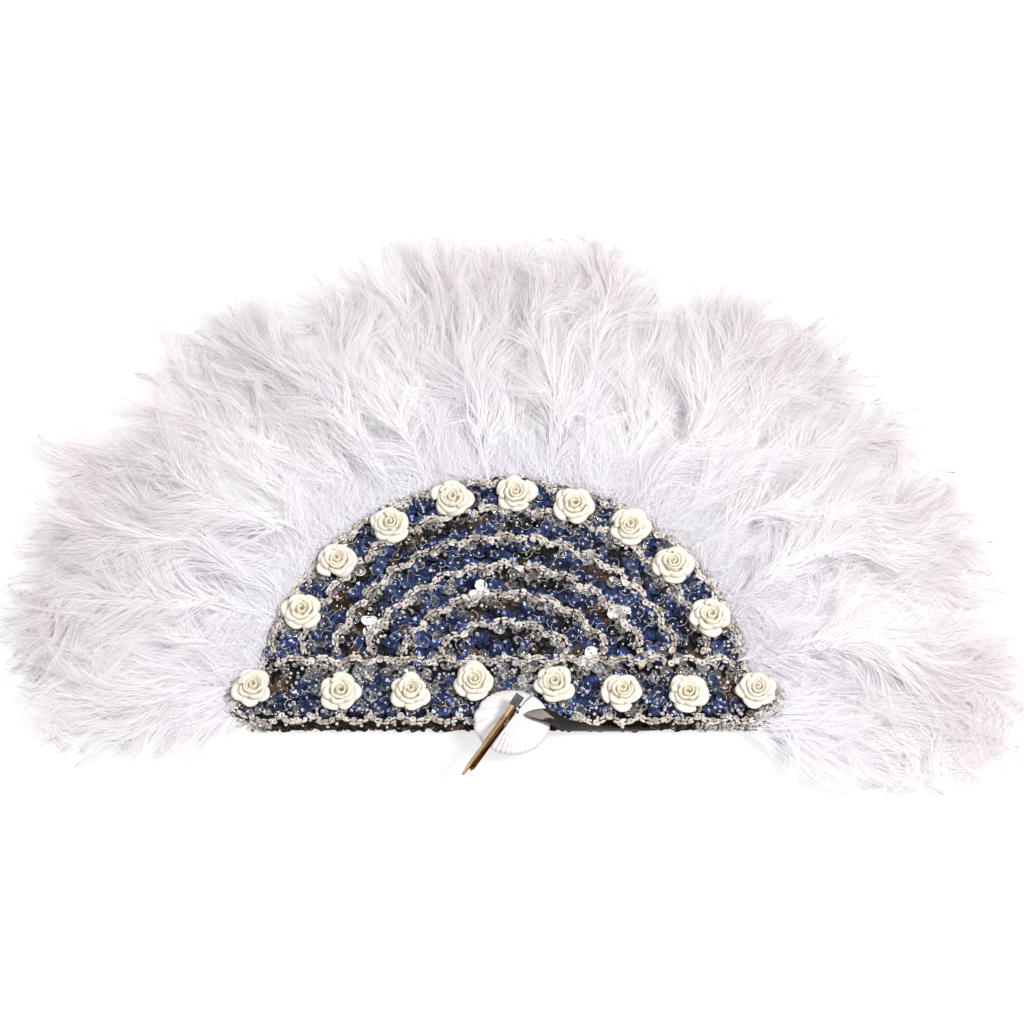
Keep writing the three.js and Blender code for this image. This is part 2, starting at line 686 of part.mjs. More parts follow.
// A dark ribbon that comes out from under the right half of the lower edge, turns up over the right
// shell and ends there in a pointed tongue.
function addRibbon() {
  const { x, top } = shellOutline();
  const shellEnd = x + SHELL_WIDTH / 2;
  const edgeY = -BASE_DROP - HEM_DEPTH - SEAT_GAP - RIBBON_METAL / 2;
  const flatZ = BACK_THICKNESS + RIBBON_WIDTH / 2;
  const overShell = top + SEAT_GAP + RIBBON_METAL;
  const halfWay = (flatZ + overShell) / 2;
  const stations = [
    { x: shellEnd + RIBBON_REACH, z: flatZ, turn: 90, width: 0.4 },
    { x: shellEnd + 0.6 * RIBBON_REACH, z: flatZ, turn: 90, width: 0.8 },
    { x: shellEnd + 2 * RIBBON_WIDTH, z: (flatZ + halfWay) / 2, turn: 75, width: 1 },
    { x: shellEnd + RIBBON_WIDTH, z: halfWay, turn: 50, width: 1 },
    { x: shellEnd, z: overShell, turn: 15, width: 1 },
    { x: shellEnd - 0.5 * RIBBON_TONGUE, z: overShell, turn: 0, width: 0.8 },
    { x: shellEnd - 0.85 * RIBBON_TONGUE, z: overShell, turn: 0, width: 0.45 },
    { x: shellEnd - RIBBON_TONGUE, z: overShell, turn: 0, width: 0.12 },
  ];
  const rings = stations.map((s) => {
    const turn = degrees(s.turn);
    const across = new THREE.Vector3(0, Math.cos(turn), Math.sin(turn));
    const through = new THREE.Vector3(0, -Math.sin(turn), Math.cos(turn));
    const half = (RIBBON_WIDTH * s.width) / 2;
    const at = (a, t) =>
      new THREE.Vector3(s.x, edgeY - RIBBON_BOW * Math.sin(2 * turn), s.z)
        .addScaledVector(across, a * half)
        .addScaledVector(through, (t * RIBBON_METAL) / 2);
    return [at(-1, -1), at(1, -1), at(1, 1), at(-1, 1)];
  });
  place("ribbon_tab", loft(rings), materials.ribbon);
}

addPanel();
addBeadRows();
addRoses();
addPlumes();
addShells();
addClip();
addRibbon();

export default fan;
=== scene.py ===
"""Looks for a feather hand fan: marabou plumes, a sequinned and beaded panel, resin roses, a pair of
shells and a gold clip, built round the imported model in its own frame, in metres."""

from math import acos, asin, atan2, ceil, copysign, cos, degrees, hypot, pi, radians, sin, sqrt

import bpy
import numpy as np
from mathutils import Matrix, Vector
from numpy.random import default_rng


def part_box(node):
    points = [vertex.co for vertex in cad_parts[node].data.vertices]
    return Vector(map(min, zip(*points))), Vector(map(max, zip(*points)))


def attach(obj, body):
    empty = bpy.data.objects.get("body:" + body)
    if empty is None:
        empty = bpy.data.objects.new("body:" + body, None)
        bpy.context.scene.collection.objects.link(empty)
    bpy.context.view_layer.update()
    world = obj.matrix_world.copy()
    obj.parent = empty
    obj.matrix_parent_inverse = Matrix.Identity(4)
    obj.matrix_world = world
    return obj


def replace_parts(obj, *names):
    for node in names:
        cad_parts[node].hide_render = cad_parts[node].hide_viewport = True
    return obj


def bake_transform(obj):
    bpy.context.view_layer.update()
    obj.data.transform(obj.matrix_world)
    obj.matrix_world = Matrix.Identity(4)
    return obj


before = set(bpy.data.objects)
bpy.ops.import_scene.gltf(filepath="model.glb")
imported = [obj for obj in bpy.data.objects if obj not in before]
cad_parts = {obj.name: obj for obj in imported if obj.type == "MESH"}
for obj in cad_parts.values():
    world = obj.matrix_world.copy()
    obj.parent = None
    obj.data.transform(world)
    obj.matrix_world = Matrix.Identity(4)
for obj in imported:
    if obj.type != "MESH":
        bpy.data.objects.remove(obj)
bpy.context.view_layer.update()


def corners(name):
    """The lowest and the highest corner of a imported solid's box."""
    return [np.array(corner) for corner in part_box(name)]


SCENE = bpy.context.scene
MM = 0.001
TURN = 2 * pi
UP = np.array([0.0, 0.0, 1.0])
MIRROR = np.array([-1, 1])
WHITE = (1, 1, 1)

# Panel
COVER_LOW, COVER_HIGH = corners("sequin_cover")
DOME_RADIUS = COVER_HIGH[1]
BASE_EDGE = COVER_LOW[1]
LOBE_RADIUS = 10.5 * MM
LOBE_X = COVER_HIGH[0] - LOBE_RADIUS
LOBE_Y = BASE_EDGE + LOBE_RADIUS
LOBE = np.array([LOBE_X, LOBE_Y])
NET_Z = COVER_LOW[2] + 0.5 * MM
FACE_Z = COVER_HIGH[2]
BACK_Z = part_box("back_board")[0].z
LINING_Z = BACK_Z - 0.2 * MM
QUILL_Z = (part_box("feather_tape")[1].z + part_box("front_board")[0].z) / 2
TAPE_WIDTH = 12.5 * MM

# Rows of beads, and what lies between them
SCALLOP_PITCH = 12.6 * MM
ROW_SCALLOP = 2.6 * MM
ROW_PITCH = 13 * MM
BORDER_RADIUS = DOME_RADIUS - 5 * MM
ROW_RADII = [BORDER_RADIUS - 12.4 * MM - k * ROW_PITCH for k in range(5)]
BASE_ROW_Y = 17 * MM
BASE_BAND = 9
SCALLOP_NUMBERS = 64
EDGE_Y = BASE_EDGE - 1.2 * MM
HEM_ENDS = np.array([-96, 80]) * MM
BRIGHT_SPOTS = np.array([[49, 42], [34, 20], [-55, 35], [-11, 52]]) * MM
ROSES = [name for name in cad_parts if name.startswith("rose_")]
ROSE_CENTRES = np.array([sum(corners(name))[:2] / 2 for name in ROSES])

# Plumes. The corner limits are bearings in degrees and how far a tip may lie that way, in mm. The
# reaches are an axis, a side, where the down starts to be drawn in and the room left to it, in mm.
BACK_PLUMES = 12
ROOT_ANGLE = radians(8)
PLUME_PITCH = (pi - 2 * ROOT_ANGLE) / (BACK_PLUMES - 1)
SPLAY = 0.13
TIP_RADIUS = 207 * MM
QUILL_WIDTH, BARB_WIDTH, WISP_WIDTH, DOWN_WIDTH = 0.35 * MM, 0.21 * MM, 0.18 * MM, 0.2 * MM
LOCK_RUNS = 330
CORNER_LIMITS = (
    (200, 191), (215, 166), (235, 124), (250, 84),
    (-25, 206), (-35, 190), (-60, 138),
)
REACHES = ((2, 1, 24, 11), (1, -1, 30, 10), (1, 1, 212, 11), (0, 1, 208, 11), (0, -1, 206, 11))

# Clip
CLIP_BEARING = radians(234)
CLIP_HEADING = np.array([cos(CLIP_BEARING), sin(CLIP_BEARING), 0.0])
PRESS_TAB = 5.4 * MM

# Picture
CAMERA_ELEVATION = radians(65)
CAMERA_DISTANCE = 3.0
CAMERA_TARGET = Vector((0.003, 0.087, 0.010))
VIEW_WIDTH = 0.430
SENSOR = 36.0
TABLE_HALF = 8.0
TABLE_GLOW = 0.72

# Seeds of the random draws
BINDING_SEED, SEQUIN_SEED, FILL_SEED, ROW_SEED = 5, 7, 11, 23
BACK_SEED, FRONT_SEED, ROSE_SEED = 100, 200, 300


# Meshes. A shape is a set of points, its faces and, for most, its places in the bake.

def add_object(name, data):
    item = bpy.data.objects.new(name, data)
    SCENE.collection.objects.link(item)
    return item


def make_piece(name, shape, material, smooth=True):
    """One riding piece from a shape whose faces have equal corner counts."""
    points, faces, *bake = shape
    mesh = bpy.data.meshes.new(name)
    mesh.vertices.add(len(points))
    mesh.vertices.foreach_set("co", np.asarray(points, np.float32).ravel())
    mesh.loops.add(faces.size)
    mesh.loops.foreach_set("vertex_index", faces.astype(np.int32).ravel())
    mesh.polygons.add(len(faces))
    mesh.polygons.foreach_set("loop_start", np.arange(0, faces.size, faces.shape[1], dtype=np.int32))
    mesh.update(calc_edges=True)
    mesh.polygons.foreach_set("use_smooth", np.full(len(faces), smooth))
    if bake:
        layer = mesh.uv_layers.new(name="OFBake")
        layer.uv.foreach_set("vector", np.asarray(bake[0], np.float32)[faces.ravel()].ravel())
    mesh.materials.append(material)
    piece = add_object(name, mesh)
    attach(piece, "fan")
    return piece


def join(parts):
    """The points and the faces of several shapes as one set."""
    starts = np.cumsum([0] + [len(part[0]) for part in parts[:-1]])
    points = np.concatenate([part[0] for part in parts])
    return points, np.concatenate([part[1] + start for part, start in zip(parts, starts)])


def bake_cells(count):
    """The corners of so many cells of a square, and how many lie across it."""
    across = ceil(sqrt(count))
    index = np.arange(count)
    return np.stack([index % across, index // across], -1), across


def merge(parts):
    """Several shapes as one, each given its own cell of the bake."""
    cells, across = bake_cells(len(parts))
    bake = [(cell + 0.1 + 0.8 * part[2]) / across for part, cell in zip(parts, cells)]
    return *join(parts), np.concatenate(bake)


def scatter(shape, places, turns):
    """Copies of one small shape: turns holds a 3 by 3 matrix for each place."""
    unit_points, unit_faces, unit_bake = shape
    points = np.einsum("nij,mj->nmi", turns, unit_points) + places[:, None, :]
    faces = unit_faces[None] + (np.arange(len(places)) * len(unit_points))[:, None, None]
    cells, across = bake_cells(len(places))
    bake = (cells[:, None] + 0.15 + 0.7 * unit_bake[None]) / across
    return points.reshape(-1, 3), faces.reshape(-1, unit_faces.shape[1]), bake.reshape(-1, 2)


def grid_faces(rows, columns, closed=False):
    """Faces over a grid of points, row by row. A closed grid joins its last column to its first."""
    across = np.arange(columns if closed else columns - 1)
    down = np.arange(rows - 1)[:, None]
    a = down * columns + across
    b = down * columns + (across + 1) % columns
    return np.stack([a, b, b + columns, a + columns], -1).reshape(-1, 4)


def grid(points, closed=False):
    """A grid of points as a shape."""
    rows, columns = points.shape[:2]
    down, across = np.meshgrid(shares(rows), shares(columns), indexing="ij")
    bake = np.stack([across, down], -1)
    return points.reshape(-1, 3), grid_faces(rows, columns, closed), bake.reshape(-1, 2)


def shares(count):
    return np.linspace(0, 1, count)


def ray(angle):
    """Directions in the plane of the table, at angles from +X."""
    return np.stack([np.cos(angle), np.sin(angle)], -1)


def lifted(xy, z):
    """Places in space from places in the plane and their heights."""
    return np.concatenate([xy, np.broadcast_to(z, xy.shape[:-1])[..., None]], -1)


def unit(vectors):
    return vectors / np.maximum(np.linalg.norm(vectors, axis=-1, keepdims=True), 1e-12)


def revolve(profile, segments):
    """A surface of revolution about Z from (radius, height) pairs."""
    ring = ray(np.linspace(0, TURN, segments, endpoint=False))
    return grid(lifted(profile[:, None, :1] * ring[None], profile[:, 1:2]), closed=True)


def random_turns(rng, count, tilt, sizes):
    """Matrices that spin about Z, lean by up to tilt degrees and scale within a range, if one is given."""
    scale = 1 if sizes is None else rng.uniform(*sizes, (count, 1, 1))
    spin, lean_to = rng.uniform(0, TURN, (2, count))
    lean = radians(tilt) * np.sqrt(rng.random(count))
    up = lifted(np.sin(lean)[:, None] * ray(lean_to), np.cos(lean))
    side = unit(np.cross(up, lifted(ray(spin), 0)))
    return np.stack([side, np.cross(up, side), up], -1) * scale


# Materials

class Nodes:
    """A node tree, with short calls for the nodes in it."""

    def __init__(self, tree):
        self.tree = tree

    def fill(self, node, inputs):
        """Sets inputs, by name or number, to values or to other nodes' outputs."""
        for key, value in inputs.items():
            socket = node.inputs[key.replace("_", " ") if isinstance(key, str) else key]
            if isinstance(value, bpy.types.NodeSocket):
                self.tree.links.new(value, socket)
            else:
                socket.default_value = value
        return node

    def add(self, kind, settings=None, **inputs):
        node = self.tree.nodes.new("ShaderNode" + kind)
        for key, value in (settings or {}).items():
            setattr(node, key, value)
        return self.fill(node, inputs)

    def calc(self, operation, *values):
        node = self.add("Math", {"operation": operation})
        return self.fill(node, dict(enumerate(values))).outputs["Value"]

    def place(self):
        return self.add("TexCoord").outputs["Object"]

    def noise(self, scale, detail=3.0, stretch=None):
        place = self.place()
        if stretch is not None:
            place = self.add("Mapping", Vector=place, Scale=stretch).outputs["Vector"]
        return self.add("TexNoise", Vector=place, Scale=scale, Detail=detail).outputs["Fac"]

    def speckle(self, scale):
        """A random grey for each cell of the given size."""
        cells = self.add("TexVoronoi", Vector=self.place(), Scale=scale)
        return self.add("SeparateColor", Color=cells.outputs["Color"]).outputs[0]

    def between(self, value, start, end, low=0, high=1):
        """Takes the range from start to end to that from low to high."""
        node = self.add("MapRange", Value=value, From_Min=start, From_Max=end, To_Min=low, To_Max=high)
        return node.outputs["Result"]

    def along(self, direction, start, end):
        """How far a place lies from start to end along a direction, from 0 to 1."""
        dot = self.add("VectorMath", {"operation": "DOT_PRODUCT"}, Vector=self.place())
        return self.between(self.fill(dot, {1: direction}).outputs["Value"], start, end)

    def ramp(self, factor, stops):
        node = self.add("ValToRGB", Fac=factor)
        elements = node.color_ramp.elements
        while len(elements) < len(stops):
            elements.new(0.5)
        for element, (position, colour) in zip(elements, stops):
            element.position = position
            element.color = (*colour, 1)
        return node.outputs["Color"]

    def lock(self, count):
        """A random grey for each of so many runs of a piece's points."""
        place = self.add("UVMap", {"uv_map": "OFBake"}).outputs["UV"]
        down = self.add("SeparateXYZ", Vector=place).outputs["Y"]
        run = self.calc("FLOOR", self.calc("MULTIPLY", down, count))
        return self.add("TexWhiteNoise", {"noise_dimensions": "1D"}, W=run).outputs["Value"]

    def times(self, one, other, share=1, kind="MULTIPLY"):
        """Two colours multiplied, or mixed in another way, by a share."""
        node = self.add("Mix", {"data_type": "RGBA", "blend_type": kind}, Factor=share)
        return self.fill(node, {6: one, 7: other}).outputs[2]


class Surface(Nodes):
    """A material with one Principled shader."""

    def __init__(self, name, **values):
        self.material = bpy.data.materials.new(name)
        self.material.use_nodes = True
        super().__init__(self.material.node_tree)
        self.shader = self.fill(self.tree.nodes["Principled BSDF"], values)

    def finished(self, tone, rough=None, bump=None):
        """The material, given its tone, roughness (factor, low, high) and bump (height, strength)."""
        inputs = {"Base Color": tone}
        if rough:
            factor, low, high = rough
            inputs["Roughness"] = self.between(factor, 0, 1, low, high)
        if bump:
            height, strength = bump
            node = self.add("Bump", Height=height, Strength=strength, Distance=0.1 * MM)
            inputs["Normal"] = node.outputs["Normal"]
        self.fill(self.shader, inputs)
        return self.material

    def blend(self, share, shader):
        """Gives another shader a share of the surface."""
        mix = self.fill(self.add("MixShader"), {0: share, 1: self.shader.outputs["BSDF"], 2: shader})
        self.fill(self.tree.nodes["Material Output"], {"Surface": mix.outputs["Shader"]})


def feather_material():
    """White down that lets light through, with painted shade: a little darker and lilac where it crowds
    at the panel, faintly darker in broad patches, and greyer towards the tips, where the tone also
    changes from lock to lock to stand in for the shade between locks."""
    n = Surface("marabou", Roughness=0.8, Specular_IOR_Level=0.1)
    length = n.add("VectorMath", {"operation": "LENGTH"}, Vector=n.place()).outputs["Value"]
    reach = n.between(length, DOME_RADIUS, TIP_RADIUS)
    # Painted shade: a little darker and lilac at the panel, where the down crowds, and greyer towards the
    # tips.
    painted_shade_by_reach = [
        (0.0, (0.98, 0.967, 1.0)), (0.25, (0.997, 0.984, 1.0)),
        (0.6, (1.0, 0.984, 0.996)), (1.0, (0.953, 0.923, 0.933)),
    ]
    # Painted shade: broad random patches of faint lilac darkening for the clefts between tufts.
    tuft_shade_patches = [(0.35, (0.985, 0.97, 0.985)), (0.6, WHITE)]
    # Painted shade: a random darkening from lock to lock, weighted by reach towards the tips, stands in
    # for the shade between locks.
    locks = [(0.0, (0.76, 0.735, 0.745)), (0.3, (0.95, 0.935, 0.945)), (0.47, WHITE)]
    tone = n.times(n.ramp(reach, painted_shade_by_reach), n.ramp(n.noise(40), tuft_shade_patches))
    tone = n.times(tone, n.ramp(n.lock(LOCK_RUNS), locks), reach)
    n.blend(0.33, n.add("BsdfTranslucent", Color=tone).outputs["BSDF"])
    return n.finished(tone)


def sequin_material(name, dark, light):
    """Glossy dyed film, half metallic, its tone changing from one sequin to the next."""
    n = Surface(name, Metallic=0.45)
    return n.finished(n.ramp(n.speckle(240), [(0.1, dark), (0.9, light)]), (n.noise(600), 0.18, 0.34))


def glass_material(name, dark, light, transmission):
    """Glass beads with a bright lining: tone varies from bead to bead."""
    n = Surface(name, IOR=1.5, Coat_Weight=0.4, Coat_Roughness=0.04, Transmission_Weight=transmission)
    return n.finished(n.ramp(n.speckle(420), [(0.1, dark), (0.85, light)]), (n.noise(900), 0.05, 0.2))


def rose_material():
    """Cream resin, with painted shade darker and warmer in the hollows between the petals, and a painted
    highlight paler on their lips.
    """
    n = Surface(
        "cream_resin", Coat_Weight=0.4, Coat_Roughness=0.1,
        Subsurface_Weight=0.3, Subsurface_Radius=(1, 0.85, 0.6), Subsurface_Scale=1.0 * MM,
    )
    shading_pointiness = n.add("NewGeometry").outputs["Pointiness"]
    # Painted shade and highlight: the cream darkens and warms where the surface hollows between petals,
    # and pales where it rounds over at the lips.
    cream_shade_and_lip_highlight = [(0.38, (0.74, 0.60, 0.42)), (0.48, (0.90, 0.83, 0.70)), (0.54, (0.94, 0.90, 0.82))]
    return n.finished(n.ramp(shading_pointiness, cream_shade_and_lip_highlight), (n.noise(300), 0.24, 0.36), (n.noise(1500), 0.06))


def shell_material():
    """White shell, blushed, with painted shade darker and lilac in its grooves, and fine growth lines."""
    n = Surface("white_shell", Coat_Weight=0.2, Coat_Roughness=0.2)
    shading_pointiness = n.add("NewGeometry").outputs["Pointiness"]
    # Painted shade: the grooves between the ribs turn darker and lilac.
    groove_shade = n.ramp(shading_pointiness, [(0.46, (0.74, 0.66, 0.70)), (0.52, (0.94, 0.92, 0.93))])
    tone = n.times(groove_shade, n.ramp(n.noise(120), [(0.3, (0.96, 0.91, 0.90)), (0.6, WHITE)]))
    return n.finished(tone, (n.noise(400), 0.25, 0.45), (n.noise(1800, stretch=(1, 1, 3)), 0.15))


def gold_tone(n):
    """Painted reflection: bright along the middle of the clip and dark along both its edges, standing in
    for the room mirrored in the bar.
    """
    across = np.cross(UP, CLIP_HEADING)
    middle = float(across @ sum(corners("clip_pin")) / 2)
    edge = n.along(across, middle - 1.6 * MM, middle + 1.6 * MM)
    # Painted reflection: dark at both edges and bright just off the middle.
    stops = [
        (0.0, (0.09, 0.05, 0.02)), (0.2, (0.55, 0.34, 0.13)), (0.45, (0.88, 0.66, 0.38)),
        (0.66, (0.58, 0.36, 0.14)), (0.8, (0.06, 0.035, 0.015)), (1.0, (0.28, 0.16, 0.06)),
    ]
    tarnish = n.ramp(n.noise(120), [(0.35, (0.8, 0.78, 0.74)), (0.65, WHITE)])
    return n.times(n.ramp(edge, stops), tarnish)


def gold_material(name, tab_end=None):
    """Gold, with a grey steel press tab behind a place along the clip if one is given."""
    n = Surface(name, Metallic=1.0)
    tone = gold_tone(n)
    if tab_end is not None:
        where = n.along(CLIP_HEADING, tab_end - 0.2 * MM, tab_end + 0.2 * MM)
        steel = n.ramp(n.noise(300), [(0.3, (0.08, 0.085, 0.09)), (0.7, (0.17, 0.18, 0.19))])
        tone = n.times(steel, tone, where, "MIX")
    return n.finished(tone, (n.noise(200), 0.1, 0.16))


def cloth_material(name, dark, light, threads, specular=0.3, shine=(0.6, 0.9)):
    """Woven cloth: two crossing sets of threads, with slow changes of tone."""
    n = Surface(name, Specular_IOR_Level=specular)
    waves = [
        n.add("TexWave", {"bands_direction": way}, Vector=n.place(), Scale=threads, Distortion=0.6)
        for way in "XY"
    ]
    weave = n.calc("MULTIPLY", *(wave.outputs["Fac"] for wave in waves))
    tone = n.ramp(n.noise(90), [(0.3, dark), (0.7, light)])
    return n.finished(tone, (weave, *shine), (weave, 0.4))


def board_material():
    n = Surface("grey_board", Roughness=0.9)
    tone = n.ramp(n.noise(500, 5), [(0.3, (0.16, 0.13, 0.10)), (0.7, (0.28, 0.24, 0.19))])
    return n.finished(tone, bump=(n.noise(1200), 0.3))


MARABOU = feather_material()
NAVY = sequin_material("navy_sequin", (0.008, 0.012, 0.044), (0.034, 0.058, 0.17))
BLACK = sequin_material("black_sequin", (0.003, 0.003, 0.004), (0.012, 0.009, 0.010))
BROWN = sequin_material("brown_sequin", (0.018, 0.008, 0.005), (0.10, 0.055, 0.032))
CLEAR = glass_material("clear_glass", (0.80, 0.77, 0.74), (0.97, 0.96, 0.95), 0.92)
SILVER = glass_material("silver_bead", (0.40, 0.36, 0.33), (0.95, 0.92, 0.89), 0.3)
PEARL = glass_material("white_bead", (0.80, 0.79, 0.78), (0.95, 0.95, 0.95), 0.0)
THREAD = glass_material("row_bead", (0.41, 0.35, 0.31), (0.92, 0.845, 0.785), 0.25)
RESIN = rose_material()
SHELL = shell_material()
GOLD = gold_material("gold_metal")
LINING = cloth_material("brown_lining", (0.010, 0.007, 0.005), (0.026, 0.017, 0.012), 900, 0.1)
NET = cloth_material("dark_net", (0.005, 0.005, 0.007), (0.018, 0.016, 0.018), 700, 0.1)
TAPE = cloth_material("cotton_tape", (0.70, 0.68, 0.64), (0.82, 0.80, 0.77), 800)
SATIN = cloth_material("dark_satin", (0.005, 0.004, 0.003), (0.018, 0.012, 0.009), 1500, 0.3, (0.22, 0.42))
TAUPE = cloth_material("taupe_satin", (0.20, 0.17, 0.155), (0.30, 0.265, 0.245), 1500, 0.3, (0.3, 0.5))
BOARD = board_material()


# Plumes

def flow_field(rng):
    """A smooth turning to left and right, in radians, that neighbouring barbs share."""
    lengths = np.array([110, 70, 44, 28, 16]) * MM
    strengths = np.array([0.36, 0.42, 0.40, 0.28, 0.14])
    bearings, phases = rng.uniform(0, TURN, (2, len(lengths)))
    waves = (TURN / lengths)[:, None] * ray(bearings)
    return lambda p: np.sin(p[..., :2] @ waves.T + phases) @ strengths


def plume_shaft(angle, reach, splay, sway, curl, height, tip_height, steps=16):
    """Points of a feather's shaft: out from between the boards, up, over and down towards its tip."""
    share = shares(steps)
    start = DOME_RADIUS - 3 * MM
    radius = start + (reach - start) * share
    out = np.clip((radius - DOME_RADIUS) / (TIP_RADIUS - DOME_RADIUS), 0, None)
    bearing = pi / 2 + (angle - pi / 2) * (1 + splay * out**1.5)
    bearing = bearing + (sway * np.sin(2.6 * share) + curl * np.sin(5.4 * share)) * share / reach
    arch = np.interp(share, [0, 0.12, 0.4, 1], [0, 0.62, 1, 0])
    arch = np.convolve(np.pad(arch, 2, mode="edge"), np.ones(5) / 5, mode="valid")
    z = QUILL_Z + (height - QUILL_Z) * arch + (tip_height - QUILL_Z) * share**2
    return lifted(radius[:, None] * ray(bearing), z)


def grow(start, begin, end, size, field, steps):
    """Paths that leave start along begin, bend towards end and drift with the field."""
    path = [start]
    for t in shares(steps)[1:]:
        heading = unit(begin * (1 - t**0.7) + end * t**0.7)
        turn = field(path[-1]) * (0.35 + 0.65 * t)
        x = heading[..., 0] * np.cos(turn) - heading[..., 1] * np.sin(turn)
        y = heading[..., 0] * np.sin(turn) + heading[..., 1] * np.cos(turn)
        step = np.stack([x, y, heading[..., 2]], -1)
        path.append(path[-1] + step * size[..., None] / (steps - 1))
    return np.stack(path, axis=-2)


def swung(angle, first, second):
    """Directions turned by an angle from the first towards the second."""
    return np.cos(angle)[..., None] * first + np.sin(angle)[..., None] * second


def barb_paths(rng, field, shaft, locks, per_lock, length, rise, droop, span=(0.03, 0.98), steps=7):
    """Barbs that leave a shaft in locks: each lock's barbs start apart and draw together at the tip."""
    shape = (locks, per_lock)
    share = shares(len(shaft))
    slope = unit(np.gradient(shaft, axis=0))
    at = span[0] + (span[1] - span[0]) * (np.sqrt(1 + 3 * rng.random(locks)) - 1)
    side = np.where(np.arange(locks) % 2, 1.0, -1.0)
    lean = rng.normal(rise, 0.4, locks)
    opening = np.radians(np.interp(at, [0, 0.3, 0.8, 1], [38, 42, 46, 60])) * rng.uniform(-0.3, 1.4, locks)
    closing = np.radians(rng.normal(16, 28, locks))
    fall = rng.normal(droop, 0.25, locks)
    size = length * np.interp(at, [0, 0.15, 0.45, 0.8, 1], [0.55, 0.8, 1, 0.9, 0.62])
    size = size * rng.uniform(0.65, 1.15, locks)

    def on_shaft(at, values):
        return np.stack([np.interp(at, share, values[:, k]) for k in range(3)], -1)

    def leave(at, side, lean, opening, closing, fall, size):
        along = on_shaft(at, slope)
        across = unit(np.cross(UP, along)) * side[..., None]
        above = unit(np.cross(along, np.cross(UP, along)))
        begin = swung(opening, along, swung(lean, across, above))
        end = swung(closing, along * [1, 1, 0.2], across) - fall[..., None] * UP
        return grow(on_shaft(at, shaft), begin, unit(end), size, field, steps)

    guide = leave(at, side, lean, opening, closing, fall, size)
    own = leave(
        np.clip(at[:, None] + 0.03 * rng.normal(0, 1, shape), 0.005, 0.995),
        np.broadcast_to(side[:, None], shape),
        lean[:, None] + rng.normal(0, 0.35, shape),
        opening[:, None] * rng.uniform(0.7, 1.35, shape),
        closing[:, None] + rng.normal(0, 0.28, shape),
        fall[:, None] + rng.normal(0, 0.15, shape),
        size[:, None] * rng.uniform(0.5, 1.1, shape),
    )
    draw = (0.7 * shares(steps) ** 1.1)[:, None]
    paths = own * (1 - draw) + guide[:, None] * draw
    paths = paths + rng.normal(0, 1, (locks, 1, 1, 3)) * np.array([1.8, 1.8, 1.0]) * MM
    paths = paths.reshape(-1, steps, 3)
    return paths + rng.normal(0, 0.32 * MM, paths.shape) * shares(steps)[:, None]


def trimmed(rng, paths):
    """Leaves out the barbs whose tips reach past the fan's two lower corners."""
    keep = np.ones(len(paths), bool)
    for bearing, limit in CORNER_LIMITS:
        way = ray(radians(bearing))
        keep &= paths[:, -1, :2] @ way < limit * MM + rng.normal(0, 2.5 * MM, len(paths))
    return paths[keep]


def ribbons(rng, paths, width):
    """Thin tapering strips along paths, each rolled its own way."""
    count, steps, _ = paths.shape
    along = unit(np.gradient(paths, axis=1))
    facing = unit(UP + rng.normal(0, 0.32, (count, 1, 3)))
    across = unit(np.cross(along, facing))
    taper = 1 - 0.85 * shares(steps) ** 1.6
    half = 0.5 * width * taper[None, :, None] * rng.uniform(0.7, 1.25, (count, 1, 1))
    points = np.stack([paths - across * half, paths + across * half], axis=2)
    cell = np.array([[2 * k, 2 * k + 1, 2 * k + 3, 2 * k + 2] for k in range(steps - 1)])
    faces = cell[None] + (np.arange(count) * steps * 2)[:, None, None]
    return points.reshape(-1, 3), faces.reshape(-1, 4)


def shaft_strip(shaft, width):
    """The quill and rachis as a thin tapering four-sided rod."""
    along = unit(np.gradient(shaft, axis=0))
    across = unit(np.cross(along, UP))
    above = np.cross(across, along)
    taper = (1 - 0.8 * shares(len(shaft)))[:, None] * width / 2
    rings = np.stack([shaft + taper * v for v in (across, above, -across, -above)], axis=1)
    return rings.reshape(-1, 3), grid_faces(len(shaft), 4, closed=True)


def settle(points, rng):
    """Lets what would sink into the table lie on it, and draws in what would reach out too far."""
    low = points[:, 2] < 0.6 * MM
    points[low, 2] = (0.6 + rng.uniform(0, 1.2, low.sum())) * MM
    for axis, sign, start, room in REACHES:
        over = points[:, axis] * sign > start * MM
        excess = points[over, axis] * sign - start * MM
        points[over, axis] = sign * (start * MM + room * MM * np.tanh(excess / (room * MM)))
    return points


def rim_down(rng, field, angle, count=2000, steps=6):
    """Short curled down that stands up close behind the panel's rim."""
    bearing = angle + PLUME_PITCH * rng.uniform(-0.62, 0.62, count)
    radius = DOME_RADIUS + rng.uniform(-2.5, 13, count) * MM
    out = lifted(ray(bearing), 0)
    aside = np.cross(UP, out) * rng.normal(0, 0.8, count)[:, None]
    start = out * radius[:, None] + UP * (QUILL_Z + rng.uniform(0, 6, count) * MM)[:, None]
    begin = unit(0.5 * out + aside + UP * rng.uniform(0.3, 1.3, count)[:, None])
    end = unit(out + 1.5 * aside + UP * rng.normal(0.1, 0.5, count)[:, None])
    paths = grow(start, begin, end, rng.uniform(9, 22, count) * MM, field, steps)
    return paths + rng.normal(0, 0.6 * MM, paths.shape) * shares(steps)[:, None]


